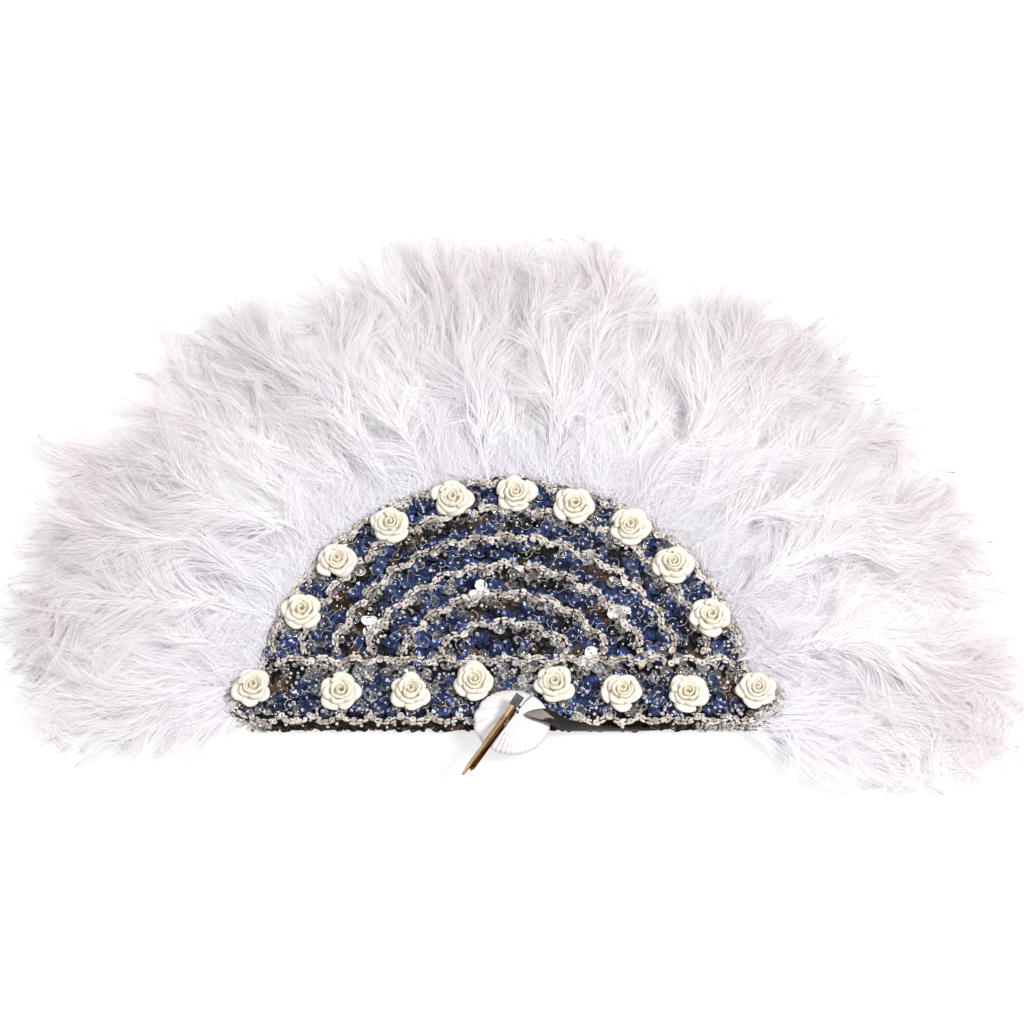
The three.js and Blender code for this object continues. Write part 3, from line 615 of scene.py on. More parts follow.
def add_plume(node, angle, reach, layer, seed, places=()):
    """One packed plume as a few feathers. In front, a lower one and a tall one side by side, with the
    down behind the rim. At the back, flatter ones at the given places: how far aside in pitches, the
    share of the reach, the splay, the barbs' length in mm and the number of locks."""
    rng = default_rng(seed)
    parts = []

    def feather(aside, reach, height, tip_height, locks, per_lock, length, rise, splay=SPLAY):
        field = flow_field(rng)
        sway, curl = rng.normal(0, (24 * MM, 9 * MM)) * splay / SPLAY
        turned = angle + (aside + rng.normal(0, 0.06)) * PLUME_PITCH
        shaft = plume_shaft(turned, reach, splay, sway, curl, height * MM, tip_height * MM)
        parts.append(shaft_strip(shaft, QUILL_WIDTH))
        paths = barb_paths(rng, field, shaft, locks, per_lock, length * MM, rise, rise)
        parts.append(ribbons(rng, trimmed(rng, paths), BARB_WIDTH))
        wisps = barb_paths(rng, field, shaft, locks, 1, 1.1 * length * MM, rise, 0.5 * rise, (0.3, 0.98))
        parts.append(ribbons(rng, trimmed(rng, wisps), WISP_WIDTH))
        return field

    if layer == "front":
        tall = rng.choice([-0.26, 0.26])
        far, height = reach * rng.uniform(0.86, 0.97), rng.uniform(12, 17)
        feather(-tall, far, height, tip_height=8, locks=96, per_lock=15, length=46, rise=0.2)
        far, height = reach * rng.uniform(0.92, 1.0), rng.uniform(20, 25)
        field = feather(tall, far, height, tip_height=12, locks=110, per_lock=16, length=47, rise=0.3)
        parts.append(ribbons(rng, rim_down(rng, field, angle), DOWN_WIDTH))
    else:
        for aside, share, splay, length, locks in places:
            height, tip_height = rng.uniform((6, 4), (12, 9))
            far = reach * share * rng.uniform(0.95, 1.01)
            feather(aside, far, height, tip_height, locks, 14, length, 0.1, splay)
    points, faces = join(parts)
    points = settle(points, rng)
    reach_share = (np.hypot(points[:, 0], points[:, 1]) - DOME_RADIUS) / (TIP_RADIUS - DOME_RADIUS)
    bake = np.stack([np.clip(0.1 + 0.75 * reach_share, 0, 1), shares(len(points))], -1)
    piece = make_piece(f"feathers_{layer}_{seed:03d}", (points, faces, bake), MARABOU)
    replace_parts(piece, node)


def add_plumes():
    usual = [(aside, 1, SPLAY, 44, 76) for aside in (-0.38, -0.12, 0.12, 0.38)]
    right_end = [
        (-0.84, 0.88, 0.075, 42, 120), (-0.68, 0.94, 0.065, 44, 120),
        (-0.45, 1, 0.05, 44, 100), (-0.2, 1, 0.06, 44, 76),
    ]
    right_low = [(-0.9, 0.8, 0.16, 40, 110), (-0.95, 0.72, 0.2, 34, 90)]
    left_end = [(0.66, 0.7, 0.04, 33, 76), (0.46, 0.76, 0.05, 35, 76), (0.25, 0.86, 0.08, 40, 76)]
    ends = {0: right_end + usual[1:] + right_low, BACK_PLUMES - 1: left_end + usual[:3]}
    for k in range(BACK_PLUMES):
        angle = ROOT_ANGLE + k * PLUME_PITCH
        reach = TIP_RADIUS + 5 * MM * cos(2.4 * k) - 7 * MM * max(0, k - BACK_PLUMES + 3)
        add_plume(f"plume_back_{k + 1:02d}", angle, reach, "back", BACK_SEED + k, ends.get(k, usual))
    for k in range(BACK_PLUMES - 1):
        angle = ROOT_ANGLE + (k + 0.5) * PLUME_PITCH
        reach = TIP_RADIUS - 10 * MM + 5 * MM * cos(1.7 * k + 1)
        add_plume(f"plume_front_{k + 1:02d}", angle, reach, "front", FRONT_SEED + k)


# Panel cloth

def outline(inset, steps=72):
    """The panel's outline, drawn in by inset, anticlockwise from the right end of the straight edge."""
    rim, lobe = DOME_RADIUS - inset, LOBE_RADIUS - inset
    reach, bearing = hypot(LOBE_X, LOBE_Y), atan2(LOBE_Y, LOBE_X)
    meet = bearing + acos((rim**2 + reach**2 - lobe**2) / (2 * rim * reach))
    about = atan2(rim * sin(meet) - LOBE_Y, rim * cos(meet) - LOBE_X)
    right = LOBE + lobe * ray(np.linspace(-pi / 2, about, steps // 4))
    dome = rim * ray(np.linspace(meet, pi - meet, steps)[1:-1])
    return np.concatenate([right, dome, right[::-1] * MIRROR])


def hem_points(depth, steps_each=6):
    """Scallops along the straight edge, from left to right."""
    count = round(2 * LOBE_X / SCALLOP_PITCH)
    k = np.arange(1, count * steps_each)
    x = LOBE_X * (2 * k / (count * steps_each) - 1)
    drop = depth * np.abs(np.sin(np.pi * k / steps_each))
    return np.stack([x, BASE_EDGE - drop], -1)


def flat_sheet(name, edge, z, material, rings=6):
    """A flat cloth inside an edge: rings of points drawn in towards the middle."""
    middle = np.array([0, 0.35 * DOME_RADIUS])
    points = np.concatenate([middle + (edge - middle) * s for s in np.linspace(1, 0.02, rings)])
    faces = grid_faces(rings, len(edge), closed=True)
    piece = make_piece(name, (lifted(points, z), faces), material)
    x, y = edge[:, 0], edge[:, 1]
    area = 0.5 * abs(np.dot(x, np.roll(y, -1)) - np.dot(y, np.roll(x, -1)))
    return piece, np.ptp(edge, axis=0), area


def add_panel_cloth():
    rim = outline(0.2 * MM)
    net, size, area = flat_sheet("net_cover", rim, NET_Z, NET)
    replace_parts(net, "sequin_cover")

    edge = np.concatenate([rim, hem_points(1.3 * MM)])
    lining, size, area = flat_sheet("back_lining", edge, LINING_Z, LINING)
    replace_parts(lining, "back_cover")

    tape_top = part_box("feather_tape")[1]
    outer = tape_top.y - 0.2 * MM
    radii = np.linspace(outer - TAPE_WIDTH, outer, 5)
    points = lifted(radii[:, None, None] * ray(np.linspace(0, pi, 90)), tape_top.z)
    tape = make_piece("quill_tape", grid(points)[:2], TAPE)
    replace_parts(tape, "feather_tape")
    add_binding()


def add_binding():
    """Dark binding up the lower side, from the lining to the net. Brown and black sequins lie along the
    middle of it, and beads at both ends and round the two corner lobes."""
    rim = outline(0.0)
    lower = np.concatenate([rim[-14:], hem_points(1.0 * MM), rim[:14]])
    outward = unit(lower - [0, 40 * MM])
    heights = np.linspace(LINING_Z, NET_Z, 5)
    swell = 0.2 * MM + 0.4 * MM * np.sin(np.linspace(0, pi, 5))
    points = np.stack([lifted(lower + outward * s, z) for z, s in zip(heights, swell)])
    make_piece("edge_binding", grid(points)[:2], LINING)

    rng = default_rng(BINDING_SEED)
    x = np.tile(np.arange(*HEM_ENDS, 2.3 * MM), 2)
    x = x + rng.normal(0, 0.7 * MM, len(x))
    x = x[np.abs(x - 3 * MM) > 15 * MM]
    z = rng.uniform(2.2, 6.0, len(x)) * MM
    turns = random_turns(rng, len(x), 35, (0.4, 0.72))
    c, s = ray(radians(62))
    face_out = np.array([[1, 0, 0], [0, c, -s], [0, s, c]])
    places = np.column_stack([x, np.full(len(x), EDGE_Y), z])
    brown = rng.random(len(x)) < 0.6
    for name, chosen, material in (("brown", brown, BROWN), ("black", ~brown, BLACK)):
        sequins = scatter(cup_sequin(), places[chosen], face_out @ turns[chosen])
        make_piece(f"edge_sequins_{name}", sequins, material)

    step = 1.8 * MM
    x = np.concatenate([np.arange(-LOBE_X, HEM_ENDS[0], step), np.arange(HEM_ENDS[1], LOBE_X, step)])
    straight = np.column_stack([x, np.full(len(x), EDGE_Y)])
    ring = ray(np.radians(np.arange(-100, 62, 9.5))) * (LOBE_RADIUS + 0.7 * MM) + LOBE
    level = np.concatenate([straight, ring, ring * MIRROR])
    places = np.concatenate([lifted(level, z * MM) for z in (1.6, 3.5, 5.4, 7.3)])
    places = places + rng.normal(0, 0.25 * MM, places.shape)
    strew(rng, "lobe_beads", ring_bead(2.3, 0.2), places, 85, (0.85, 1.2), THREAD)


# Sequins and beads

def nearest(xy, spots):
    """How far each place lies from the nearest of the spots."""
    return np.min(np.linalg.norm(xy[:, None] - spots[None], axis=-1), axis=1)


def inside_panel(xy, inset):
    x, y = np.abs(xy[:, 0]), xy[:, 1]
    in_dome = (np.hypot(x, y) < DOME_RADIUS - inset) & (y > BASE_EDGE + inset)
    in_lobe = np.hypot(x - LOBE_X, y - LOBE_Y) < LOBE_RADIUS - inset
    in_band = (x < LOBE_X) & (y > BASE_EDGE + inset) & (y < LOBE_Y)
    return in_dome | in_lobe | in_band


def panel_points(rng, spacing, inset, shake):
    """Places on a shaken triangular grid, clear of the roses' feet, and what band_of says of them."""
    x = np.arange(-LOBE_X - LOBE_RADIUS, LOBE_X + LOBE_RADIUS, spacing)
    y = np.arange(BASE_EDGE, DOME_RADIUS, spacing * 0.866)
    places = np.stack(np.meshgrid(x, y), axis=-1)
    places[1::2, :, 0] += spacing / 2
    xy = places.reshape(-1, 2) + rng.normal(0, shake * spacing, (places.size // 2, 2))
    xy = xy[inside_panel(xy, inset) & (nearest(xy, ROSE_CENTRES) > 4.5 * MM)]
    return xy, *band_of(xy)


def band_of(xy):
    """How far down its band each place lies, from 0 under a row to 1 at the next, and the numbers of
    its band and its scallop."""
    radius = np.hypot(xy[:, 0], xy[:, 1])
    angle = np.arctan2(xy[:, 1], xy[:, 0])
    rows = np.array([BORDER_RADIUS, *ROW_RADII, ROW_RADII[-1] - ROW_PITCH])
    wave = np.abs(np.sin(np.pi * radius * angle / SCALLOP_PITCH))
    level = radius - ROW_SCALLOP * wave
    band = np.clip(np.searchsorted(-rows, -level) - 1, 0, len(rows) - 2)
    share = (rows[band] - level) / (rows[band] - rows[band + 1])
    base = xy[:, 1] < BASE_ROW_Y
    share[base] = (BASE_ROW_Y - xy[base, 1]) / (BASE_ROW_Y - BASE_EDGE)
    scallop = np.where(base, xy[:, 0] / SCALLOP_PITCH + 40, radius * angle / SCALLOP_PITCH)
    number = np.floor(scallop).astype(int) % SCALLOP_NUMBERS
    return np.clip(share, 0, 1), np.where(base, BASE_BAND, band), number


def cup_sequin():
    """A faceted cup sequin 5.4 mm across, with a hole in the middle and a rolled rim."""
    profile = [(0.35, 0.1), (1.0, 0.0), (2.55, 0.62), (2.7, 0.78), (2.6, 0.84)]
    return revolve(np.array(profile) * MM, 8)


def seed_bead(size):
    """A rounded bead with a hole. The sizes of all beads are in mm."""
    profile = [(0.2, 0.34), (0.38, 0.36), (0.5, 0.16), (0.5, -0.16), (0.38, -0.36), (0.2, -0.34)]
    return revolve(np.array(profile) * (size * MM), 9)


def ring_bead(size, tube_share):
    profile = tube_share * ray(np.linspace(0, TURN, 6)) + [0.5 - tube_share, 0]
    return revolve(profile * (size * MM), 12)


def rim_arc(size, tube, sweep):
    """Part of a thin ring lying flat."""
    out = lifted(ray(np.linspace(0, sweep, 7)), 0)
    points = [out * (size / 2 + tube * a) + UP * tube * b for a, b in ((0, 1), (1, 0), (0, -1), (-1, 0))]
    return grid(np.stack(points, axis=1), closed=True)


def oval_bead(length, width):
    """A short oval glass bead with a hole, lying along X."""
    ends = [(0.2, -0.5), (0.4, -0.4), (0.5, -0.15), (0.5, 0.15), (0.4, 0.4), (0.2, 0.5)]
    points, faces, bake = revolve(np.array(ends) * [width * MM, length * MM], 7)
    return points[:, [2, 0, 1]], faces, bake


def lay_along(rng, path, swing, scale):
    """Matrices that turn a shape's X along a path, lying flat but for a random swing."""
    along = unit(lifted(np.gradient(path, axis=0), 0) + 1e-9)
    along = unit(along + rng.normal(0, swing, along.shape))
    up = unit(UP + rng.normal(0, swing, along.shape))
    side = unit(np.cross(up, along))
    return np.stack([along, side, np.cross(along, side)], -1) * scale[:, None, :]


def strew(rng, name, shape, places, tilt, sizes, material):
    """Beads at places, leaning by up to tilt in degrees, with a range of sizes."""
    turns = random_turns(rng, len(places), tilt, sizes)
    make_piece(name, scatter(shape, places, turns), material)


def sow(rng, name, shape, xy, base, rise, *how):
    """Beads strewn on the face, as far over a base as the range of rise says, in mm."""
    strew(rng, name, shape, lifted(xy, base + rng.uniform(*rise, len(xy)) * MM), *how)


def add_sequins():
    """Cup sequins: dark ones in runs under each row, navy below them, clear ones near the rows and the
    roses, and a few bright ones. Many carry a silver arc over part of the rim, a painted highlight,
    and many dark ones a white bead in the middle, which also stands in for the glint there."""
    rng = default_rng(SEQUIN_SEED)
    xy, share, band, scallop = panel_points(rng, 3.9 * MM, 3.0 * MM, 0.14)
    pick = rng.random((BASE_BAND + 1, SCALLOP_NUMBERS))[band, scallop]
    chance = rng.random(len(xy))
    near_rose = nearest(xy, ROSE_CENTRES) < 11 * MM
    under_row = band > 0
    bare = (share < 0.22) & under_row & (chance > 0.45)
    bright = nearest(xy, BRIGHT_SPOTS) < 4.2 * MM
    clear = (share < 0.28) & under_row & (chance < 0.3) | near_rose & (chance < 0.3) | (chance > 0.96)
    clear = clear & ~bare & ~bright
    rest = ~bare & ~clear & ~bright
    dark = rest & (share < 0.62) & under_row
    black = dark & (pick < np.where(band == BASE_BAND, 0.15, 0.36))
    brown = dark & (pick > 0.84) | rest & ~dark & (chance < 0.05)
    navy = rest & ~black & ~brown
    places = lifted(xy, NET_Z + rng.uniform(0.8, 1.8, len(xy)) * MM)
    turns = random_turns(rng, len(xy), 24, (0.86, 1.04))
    groups = (
        ("navy", navy, NAVY), ("black", black, BLACK), ("brown", brown, BROWN),
        ("clear", clear, CLEAR), ("white", bright, PEARL),
    )
    for name, chosen, material in groups:
        sequins = scatter(cup_sequin(), places[chosen], turns[chosen])
        make_piece(f"sequins_{name}", sequins, material, False)
    # Painted highlight: a bright silver arc over part of the rim of most sequins.
    rim_highlighted = ~bare & (clear | (chance < 0.6))
    highlight_arc_places = places[rim_highlighted] + turns[rim_highlighted][:, :, 2] * 0.8 * MM
    highlight_arcs = scatter(rim_arc(5.3 * MM, 0.13 * MM, 2.2), highlight_arc_places, turns[rim_highlighted])
    make_piece("sequin_rim_highlights", highlight_arcs, SILVER)
    # A seed bead in the middle that is partly a painted highlight: it is opaque white so that it also
    # stands in for the glint there.
    sewn = (navy | black | brown) & (chance < 0.6)
    centres = places[sewn] + turns[sewn][:, :, 2] * 0.3 * MM
    strew(rng, "sequin_beads_and_glints", seed_bead(0.85), centres, degrees(1), None, PEARL)


def add_fill():
    """Clear ring beads and seed beads between each row and the dark sequins below it, and a beaded
    edge round the arched rim."""
    rng = default_rng(FILL_SEED)
    xy, share, band, _ = panel_points(rng, 3.0 * MM, 2.0 * MM, 0.2)
    chance = rng.random(len(xy))
    near_rose = (nearest(xy, ROSE_CENTRES) < 11.5 * MM) & (chance < 0.46)
    xy = xy[(share < 0.3) & (band > 0) & (chance < 0.4) | near_rose]
    sow(rng, "fill_rings", ring_bead(3.8, 0.14), xy, NET_Z, (1.6, 2.6), 38, (0.6, 1.2), CLEAR)

    xy, share, band, _ = panel_points(rng, 2.0 * MM, 1.6 * MM, 0.25)
    chance = rng.random(len(xy))
    base = (band == BASE_BAND) & (chance < 0.26) | ~inside_panel(xy, 5.5 * MM) & (chance < 0.6)
    xy = xy[(share < 0.3) & (chance < 0.45) | (share > 0.93) & (chance < 0.3) | (chance < 0.05) | base]
    sow(rng, "fill_beads", seed_bead(1.5), xy, NET_Z, (1.2, 2.2), 80, (0.6, 1.2), SILVER)

    angle = np.tile(np.arange(0.06, pi - 0.06, 0.019), 3)
    each = len(angle) // 3
    angle = angle + rng.normal(0, 0.005, len(angle))
    radius = DOME_RADIUS - np.repeat([0.4, 1.7, 3.0], each) * MM + rng.normal(0, 0.3 * MM, len(angle))
    places = lifted(radius[:, None] * ray(angle), NET_Z + np.repeat([0.0, 0.8, 1.4], each) * MM)
    strew(rng, "rim_beads", ring_bead(2.4, 0.14), places, 60, (0.75, 1.2), THREAD)


def scallops(length, spacing):
    """How far a scalloped line swells at each of its places."""
    half_waves = round(length / SCALLOP_PITCH)
    return np.abs(np.sin(np.linspace(0, half_waves * pi, int(length / spacing))))


def scalloped_arc(radius, spacing):
    """Places along a scalloped arc that ends above the base band, with their outward directions."""
    end = asin(min(1, (BASE_ROW_Y + 6 * MM) / radius))
    wave = scallops(radius * (pi - 2 * end), spacing)
    out = ray(np.linspace(end, pi - end, len(wave)))
    return out * (radius + ROW_SCALLOP * wave)[:, None], out


def base_line(y, half_width, depth, spacing):
    """Places along a straight scalloped line, with their outward directions."""
    wave = scallops(2 * half_width, spacing)
    x = np.linspace(-half_width, half_width, len(wave))
    out = np.tile([0.0, copysign(1, depth)], (len(wave), 1))
    return np.stack([x, y + depth * wave], -1), out


def edge_line(spacing):
    """Round the left lobe, along the straight edge and round the right lobe."""
    radius = LOBE_RADIUS - 1.3 * MM
    line, out = base_line(LOBE_Y - radius, LOBE_X, -2.5 * MM, spacing)
    lobe_out = ray(np.arange(-pi / 2, radians(60), spacing / radius)[1:])
    right = lobe_out * radius + LOBE
    path = np.concatenate([right[::-1] * MIRROR, line, right])
    return path, np.concatenate([lobe_out[::-1] * MIRROR, out, lobe_out])


def add_bead_row(name, node, line, rng, lift=0.0):
    """One row: two strands of oval beads side by side, oval rings here and there on top of them, seed
    beads along both sides and a ring in each valley."""
    base = FACE_Z + lift

    def beside(spacing, sides, shake):
        xy, out = line(spacing)
        aside = rng.choice(sides, len(xy))[:, None] if len(sides) > 1 else sides[0]
        return xy + out * aside * MM + rng.normal(0, shake * MM, xy.shape)

    def laid(shape, xy, low, high, swing, sizes, stretch):
        places = lifted(xy, base + rng.uniform(low, high, len(xy)) * MM)
        scale = rng.uniform(*sizes, (len(xy), 1)) * stretch
        return scatter(shape, places, lay_along(rng, xy, swing, scale))

    bead = oval_bead(2.8, 1.3)
    strands = [
        laid(bead, beside(2.75 * MM, [aside], 0.14), low, high, 0.13, (0.86, 1.12), np.ones(3))
        for aside, low, high in ((0.72, 0.55, 0.9), (-0.72, 0.4, 0.75))
    ]
    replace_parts(make_piece(f"{name}_strands", merge(strands), THREAD), node)

    xy = beside(4.6 * MM, [-0.7, 0.7], 0.25)
    ovals = laid(ring_bead(2.9, 0.15), xy, 1.0, 1.4, 0.3, (0.8, 1.15), [1.0, 0.75, 1.0])
    make_piece(f"{name}_ovals", ovals, THREAD)

    xy = beside(3.4 * MM, [-2.0, 1.9], 0.3)
    sow(rng, f"{name}_seeds", seed_bead(1.4), xy, base, (-0.4, 0.3), 80, (0.7, 1.2), SILVER)

    xy, out = line(0.4 * MM)
    wave = np.sum(xy * out, axis=1)
    valley = (wave[1:-1] < wave[:-2] - 1e-9) & (wave[1:-1] <= wave[2:] + 1e-9)
    spots = xy[1:-1][valley]
    sow(rng, f"{name}_rings", ring_bead(3.1, 0.17), spots, base, (1.1, 1.5), 30, (0.85, 1.15), THREAD)


def add_bead_rows():
    rng = default_rng(ROW_SEED)
    for k, radius in enumerate(ROW_RADII):
        add_bead_row(f"row_{k + 1}", f"bead_row_{k + 1}", lambda s, r=radius: scalloped_arc(r, s), rng)
    add_bead_row("border", "bead_border", lambda s: scalloped_arc(BORDER_RADIUS, s), rng)
    half = LOBE_X - LOBE_RADIUS
    add_bead_row("base_row", "bead_base_row", lambda s: base_line(BASE_ROW_Y, half, ROW_SCALLOP, s), rng)
    add_bead_row("base_edge", "bead_base_edge", edge_line, rng, -1.2 * MM)


# Roses

def petal(bearing, width, inner, outer, low, high, ruffle, rows=10, columns=17):
    """One thick petal: it rises from the heart, leans out and rolls over at its lip. One side tucks
    under the next petal and the other lies over it."""
    v = shares(rows)[:, None]
    u = np.linspace(-1, 1, columns)[None]
    lip = np.clip((v - 0.66) / 0.34, 0, 1) ** 2
    edge = 1 - 0.3 * np.abs(u) ** 1.8 + 0.045 * np.sin(4.0 * u + ruffle)
    radius = (inner + (outer - inner) * v * edge) * (1 + 0.09 * u)
    climb = np.sin(0.5 * np.pi * np.clip(1.2 * v, 0, 1)) ** 1.3
    height = low + (high - low) * climb * (1 - 0.12 * u**2) - 1.1 * MM * lip + 0.5 * MM * u * v
    out = lifted(ray(bearing + width * u * (0.8 + 0.2 * v)), 0)
    face = out * radius[..., None] + height[..., None] * UP
    back = face + (0.1 * out - 0.5 * UP) * MM
    return grid(np.concatenate([face, back[::-1]]))


def bud(turn, steps=48, rows=6):
    """The rolled heart of the rose, as a spiral wall that opens outwards."""
    t = shares(steps)[None]
    v = shares(rows)[:, None]
    radius = (0.3 + 2.3 * t) * MM * (0.86 + 0.14 * v)
    height = (2.0 + (4.4 - 1.0 * t) * v) * MM
    out = lifted(ray(turn + TURN * 1.5 * t + 0 * v), 0)
    inner = out * radius[..., None] + height[..., None] * UP
    outer = inner + out * 0.65 * MM - UP * 0.2 * MM
    return grid(np.concatenate([inner, outer[::-1]]))


def rose_shape(seed, turn):
    """A rose: a rolled heart, three petals cupped round it, then two open rounds of five. Each round has
    a count, a width, inner and outer radii, and a low and a high level."""
    rng = default_rng(seed)
    rounds = (
        (5, 0.74, 2.6, 9.0, 0.4, 3.2), (5, 0.76, 2.4, 7.0, 0.8, 5.0), (3, 1.2, 1.8, 4.9, 1.0, 6.4),
    )
    parts = [bud(turn)]
    for k, (count, width, inner, outer, low, high) in enumerate(rounds):
        for j in range(count):
            bearing = turn + TURN * (j + 0.5 * k) / count + rng.normal(0, 0.15)
            size = outer * rng.uniform(0.88, 1.06) * MM
            rise = high * rng.uniform(0.95, 1.05) * MM
            ruffle = rng.uniform(0, 6.3)
            parts.append(petal(bearing, width, inner * MM, size, low * MM, rise, ruffle))
    foot = [(0.01, 0.0), (3.2, 0.0), (3.4, 1.0), (4.6, 1.5), (3.0, 2.0), (2.0, 2.6), (0.01, 3.0)]
    parts.append(revolve(np.array(foot) * MM, 20))
    return merge(parts)


def add_roses():
    for k, name in enumerate(ROSES):
        points, faces, bake = rose_shape(ROSE_SEED + k, 2.4 * k)
        lift = lifted(ROSE_CENTRES[k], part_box(name)[0].z + 0.8 * MM)
        piece = make_piece(name + "_resin", (points + lift, faces, bake), RESIN)
        smooth = piece.modifiers.new("smooth", "SUBSURF")
        smooth.levels = smooth.render_levels = 1
        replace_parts(piece, name)


# Shells, clip, ribbon and boards

def add_shells():
    """Two valves under the clip, their ribs fanning out from an umbo on the clip's line. The left one
    ends in three coarse ridges beside the clip, and the right one is smooth on its upper side. Each has
    a first bearing, its umbo's offset, and the ribs' count and depth along the way round."""
    boxes = [corners(name) for name in ("shell_left", "shell_right")]
    low, high = np.min(boxes, axis=(0, 1)), np.max(boxes, axis=(0, 1))
    centre, half = (low + high)[:2] / 2, (high - low)[:2] / 2
    left_ribs = ([0, 0.62, 1], [0, 13, 16.5]), ([0, 0.58, 0.68, 1], [0.26, 0.3, 0.75, 0.7])
    right_ribs = ([0, 1], [0, 26]), ([0, 0.62, 0.74, 1], [0.4, 0.4, 0.05, 0.0])
    valves = (
        ("left", CLIP_BEARING - pi, 6.5, *left_ribs),
        ("right", CLIP_BEARING, 3.8, *right_ribs),
    )
    u = shares(241)[None]
    v = np.linspace(0.05, 1, 18)[:, None]
    for name, start, offset, counts, depths in valves:
        umbo = -CLIP_HEADING[:2] * offset * MM
        rays = ray(start + pi * u)
        step, begin = rays / half, umbo / half
        mean = (step @ begin) / np.sum(step**2, -1)
        reach = np.sqrt(mean**2 + (1 - begin @ begin) / np.sum(step**2, -1)) - mean
        depth = np.interp(u, *depths)
        rib = np.abs(np.cos(np.pi * np.interp(u, *counts))) - 1
        apart = 0.3 * MM * ray(start + pi / 2)
        fringe = 1 + 0.05 * depth * rib * v**4
        xy = centre + umbo + apart + rays * (v * reach * fringe * 0.99)[..., None]
        z = high[2] - 4.2 * MM * v**2.2 + depth * MM * v * rib + 0.05 * MM * np.sin(v * 26)
        top = lifted(xy, z)
        shape = grid(np.concatenate([top, (top - UP * 1.1 * MM)[::-1]]))
        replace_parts(make_piece(f"shell_valve_{name}", shape, SHELL), f"shell_{name}")


def finish(mesh, material):
    mesh.materials.clear()
    mesh.materials.append(material)


def add_clip():
    for name in ("clip_base", "clip_pin"):
        finish(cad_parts[name].data, GOLD)
    tail = corners("clip_lever")[1] - 1.2 * MM
    lever = gold_material("gold_lever", float(tail @ CLIP_HEADING) + PRESS_TAB)
    finish(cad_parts["clip_lever"].data, lever)


def add_leaf():
    """The folded leaf spring, copied as one gold piece in place of the imported one."""
    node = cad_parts["clip_spring"]
    mesh = node.data.copy()
    mesh.transform(node.matrix_world)
    finish(mesh, GOLD)
    leaf = add_object("clip_leaf", mesh)
    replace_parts(leaf, "clip_spring")
    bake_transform(leaf)


def add_ribbon():
    """The dark ribbon, from under the lower edge up over the right shell to a pointed tongue that has
    a taupe face."""
    low, high = corners("ribbon_tab")
    edge_y = (low[1] + high[1]) / 2
    bend = low[0] + 10 * MM
    z_low, z_high = low[2] + 3 * MM, high[2] - 0.6 * MM
    middle = (z_low + z_high) / 2
    steps = 60
    share = shares(8)
    fine = shares(steps)

    def soft(values):
        return np.convolve(np.pad(np.interp(fine, share, values), 3, mode="edge"), np.ones(7) / 7, "valid")

    bends = [bend + d * MM for d in (26, 12, 6, 0, -5, -8.5)]
    x = soft([high[0], *bends, low[0]])
    z = soft([z_low, z_low, (z_low + middle) / 2, middle, z_high, z_high, z_high, z_high])
    turn = soft(np.radians([90, 90, 75, 50, 15, 0, 0, 0]))
    width = soft(np.array([0.4, 0.8, 1, 1, 1, 0.8, 0.45, 0.06]) * 6 * MM)
    y = edge_y - 1 * MM * np.sin(2 * turn)
    across = np.stack([0 * turn, np.cos(turn), np.sin(turn)], -1)[:, None]
    through = np.stack([0 * turn, -np.sin(turn), np.cos(turn)], -1)[:, None]
    spread = np.linspace(-1, 1, 9)
    line = np.stack([x, y, z], -1)[:, None]
    crown = through * (0.5 * MM * (1 - spread**2))[None, :, None]
    face = line + across * (width[:, None] * spread / 2)[..., None] + crown
    points = np.concatenate([face, (face - through * 0.35 * MM)[:, ::-1]], axis=1)
    ribbon = make_piece("satin_ribbon", grid(points, closed=True)[:2], SATIN)
    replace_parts(ribbon, "ribbon_tab")
    tongue = slice(31, 59)
    narrow = 0.42 * np.interp(np.arange(steps), [30, 38, steps], [0.0, 1.0, 1.0])[:, None]
    inner = line + across * (width[:, None] * spread * narrow)[..., None] + crown + through * 0.15 * MM
    make_piece("ribbon_face", grid(inner[tongue])[:2], TAUPE)


# Stage

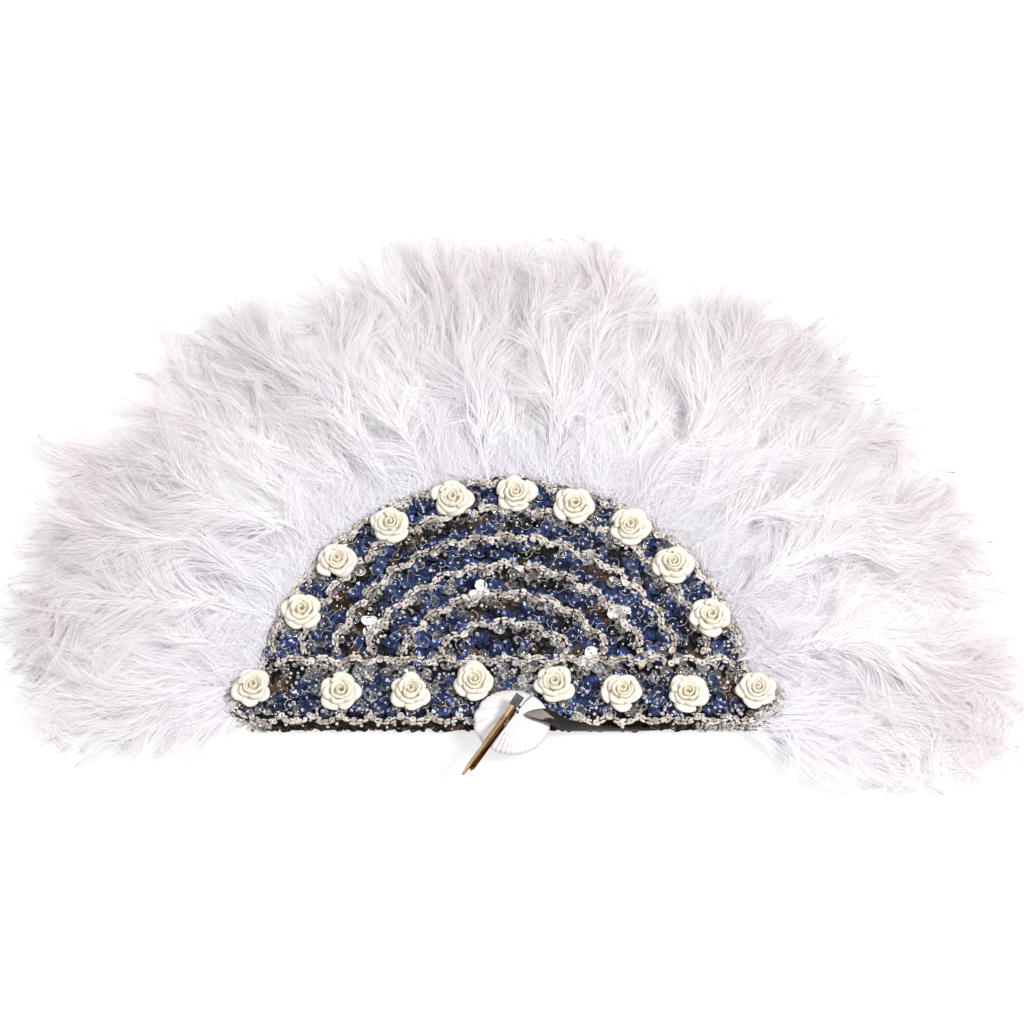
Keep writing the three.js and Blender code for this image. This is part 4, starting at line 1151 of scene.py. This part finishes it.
def add_stage():
    """A pale table that looks brighter than it lights the fan."""
    n = Surface("pale_table", Roughness=0.9, Specular_IOR_Level=0.0)
    material = n.finished(n.ramp(n.noise(8), [(0.0, (0.94, 0.94, 0.94)), (1.0, (0.96, 0.96, 0.96))]))
    path = n.add("LightPath").outputs
    seen = n.calc("MAXIMUM", path["Is Camera Ray"], path["Is Glossy Ray"])
    seen = n.calc("MAXIMUM", seen, path["Is Transmission Ray"])
    n.blend(n.calc("MULTIPLY", seen, TABLE_GLOW), n.add("Emission").outputs["Emission"])
    mesh = bpy.data.meshes.new("table")
    square = [(x * TABLE_HALF, y * TABLE_HALF, 0) for x, y in ((-1, -1), (1, -1), (1, 1), (-1, 1))]
    mesh.from_pydata(square, [], [(0, 1, 2, 3)])
    mesh.materials.append(material)
    floor = add_object("table", mesh)
    floor.location.z = -0.3 * MM


def add_lamp(name, place, size, watts):
    data = bpy.data.lights.new(name, "AREA")
    data.size = size
    data.energy = watts
    lamp = add_object(name, data)
    lamp.location = place
    lamp.rotation_euler = (Vector((0, 0.09, 0)) - Vector(place)).to_track_quat("-Z", "Y").to_euler()


def light_scene():
    """A room: dark near the table, brighter overhead in broad uneven patches, a key lamp and a fill."""
    world = bpy.data.worlds.new("studio")
    world.use_nodes = True
    n = Nodes(world.node_tree)
    place = n.add("TexCoord").outputs["Generated"]
    height = n.add("SeparateXYZ", Vector=place).outputs["Z"]
    patches = n.add("TexNoise", Vector=place, Scale=2.2, Detail=1.0).outputs["Fac"]
    overhead = n.between(height, 0.25, 0.85, 0.03, 0.66)
    strength = n.calc("MULTIPLY", overhead, n.between(patches, 0.36, 0.64, 0.2, 1.8))
    n.fill(n.tree.nodes["Background"], {"Color": (*WHITE, 1), "Strength": strength})
    SCENE.world = world
    add_lamp("key", (0.9, -0.3, 1.5), 0.4, 29)
    add_lamp("fill", (-1.1, 0.5, 1.3), 0.9, 7.5)


def add_camera():
    data = bpy.data.cameras.new("camera")
    data.sensor_width = SENSOR
    data.lens = SENSOR * CAMERA_DISTANCE / VIEW_WIDTH
    camera = add_object("camera", data)
    back = Vector((0, -cos(CAMERA_ELEVATION), sin(CAMERA_ELEVATION)))
    camera.location = CAMERA_TARGET + back * CAMERA_DISTANCE
    camera.rotation_euler = (-back).to_track_quat("-Z", "Y").to_euler()
    SCENE.camera = camera


SCENE.view_settings.view_transform = "Standard"
add_camera()
light_scene()
add_stage()
add_plumes()
add_panel_cloth()
add_sequins()
add_fill()
add_bead_rows()
add_roses()
add_shells()
add_clip()
add_leaf()
add_ribbon()
for board in ("back_board", "front_board"):
    finish(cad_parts[board].data, BOARD)
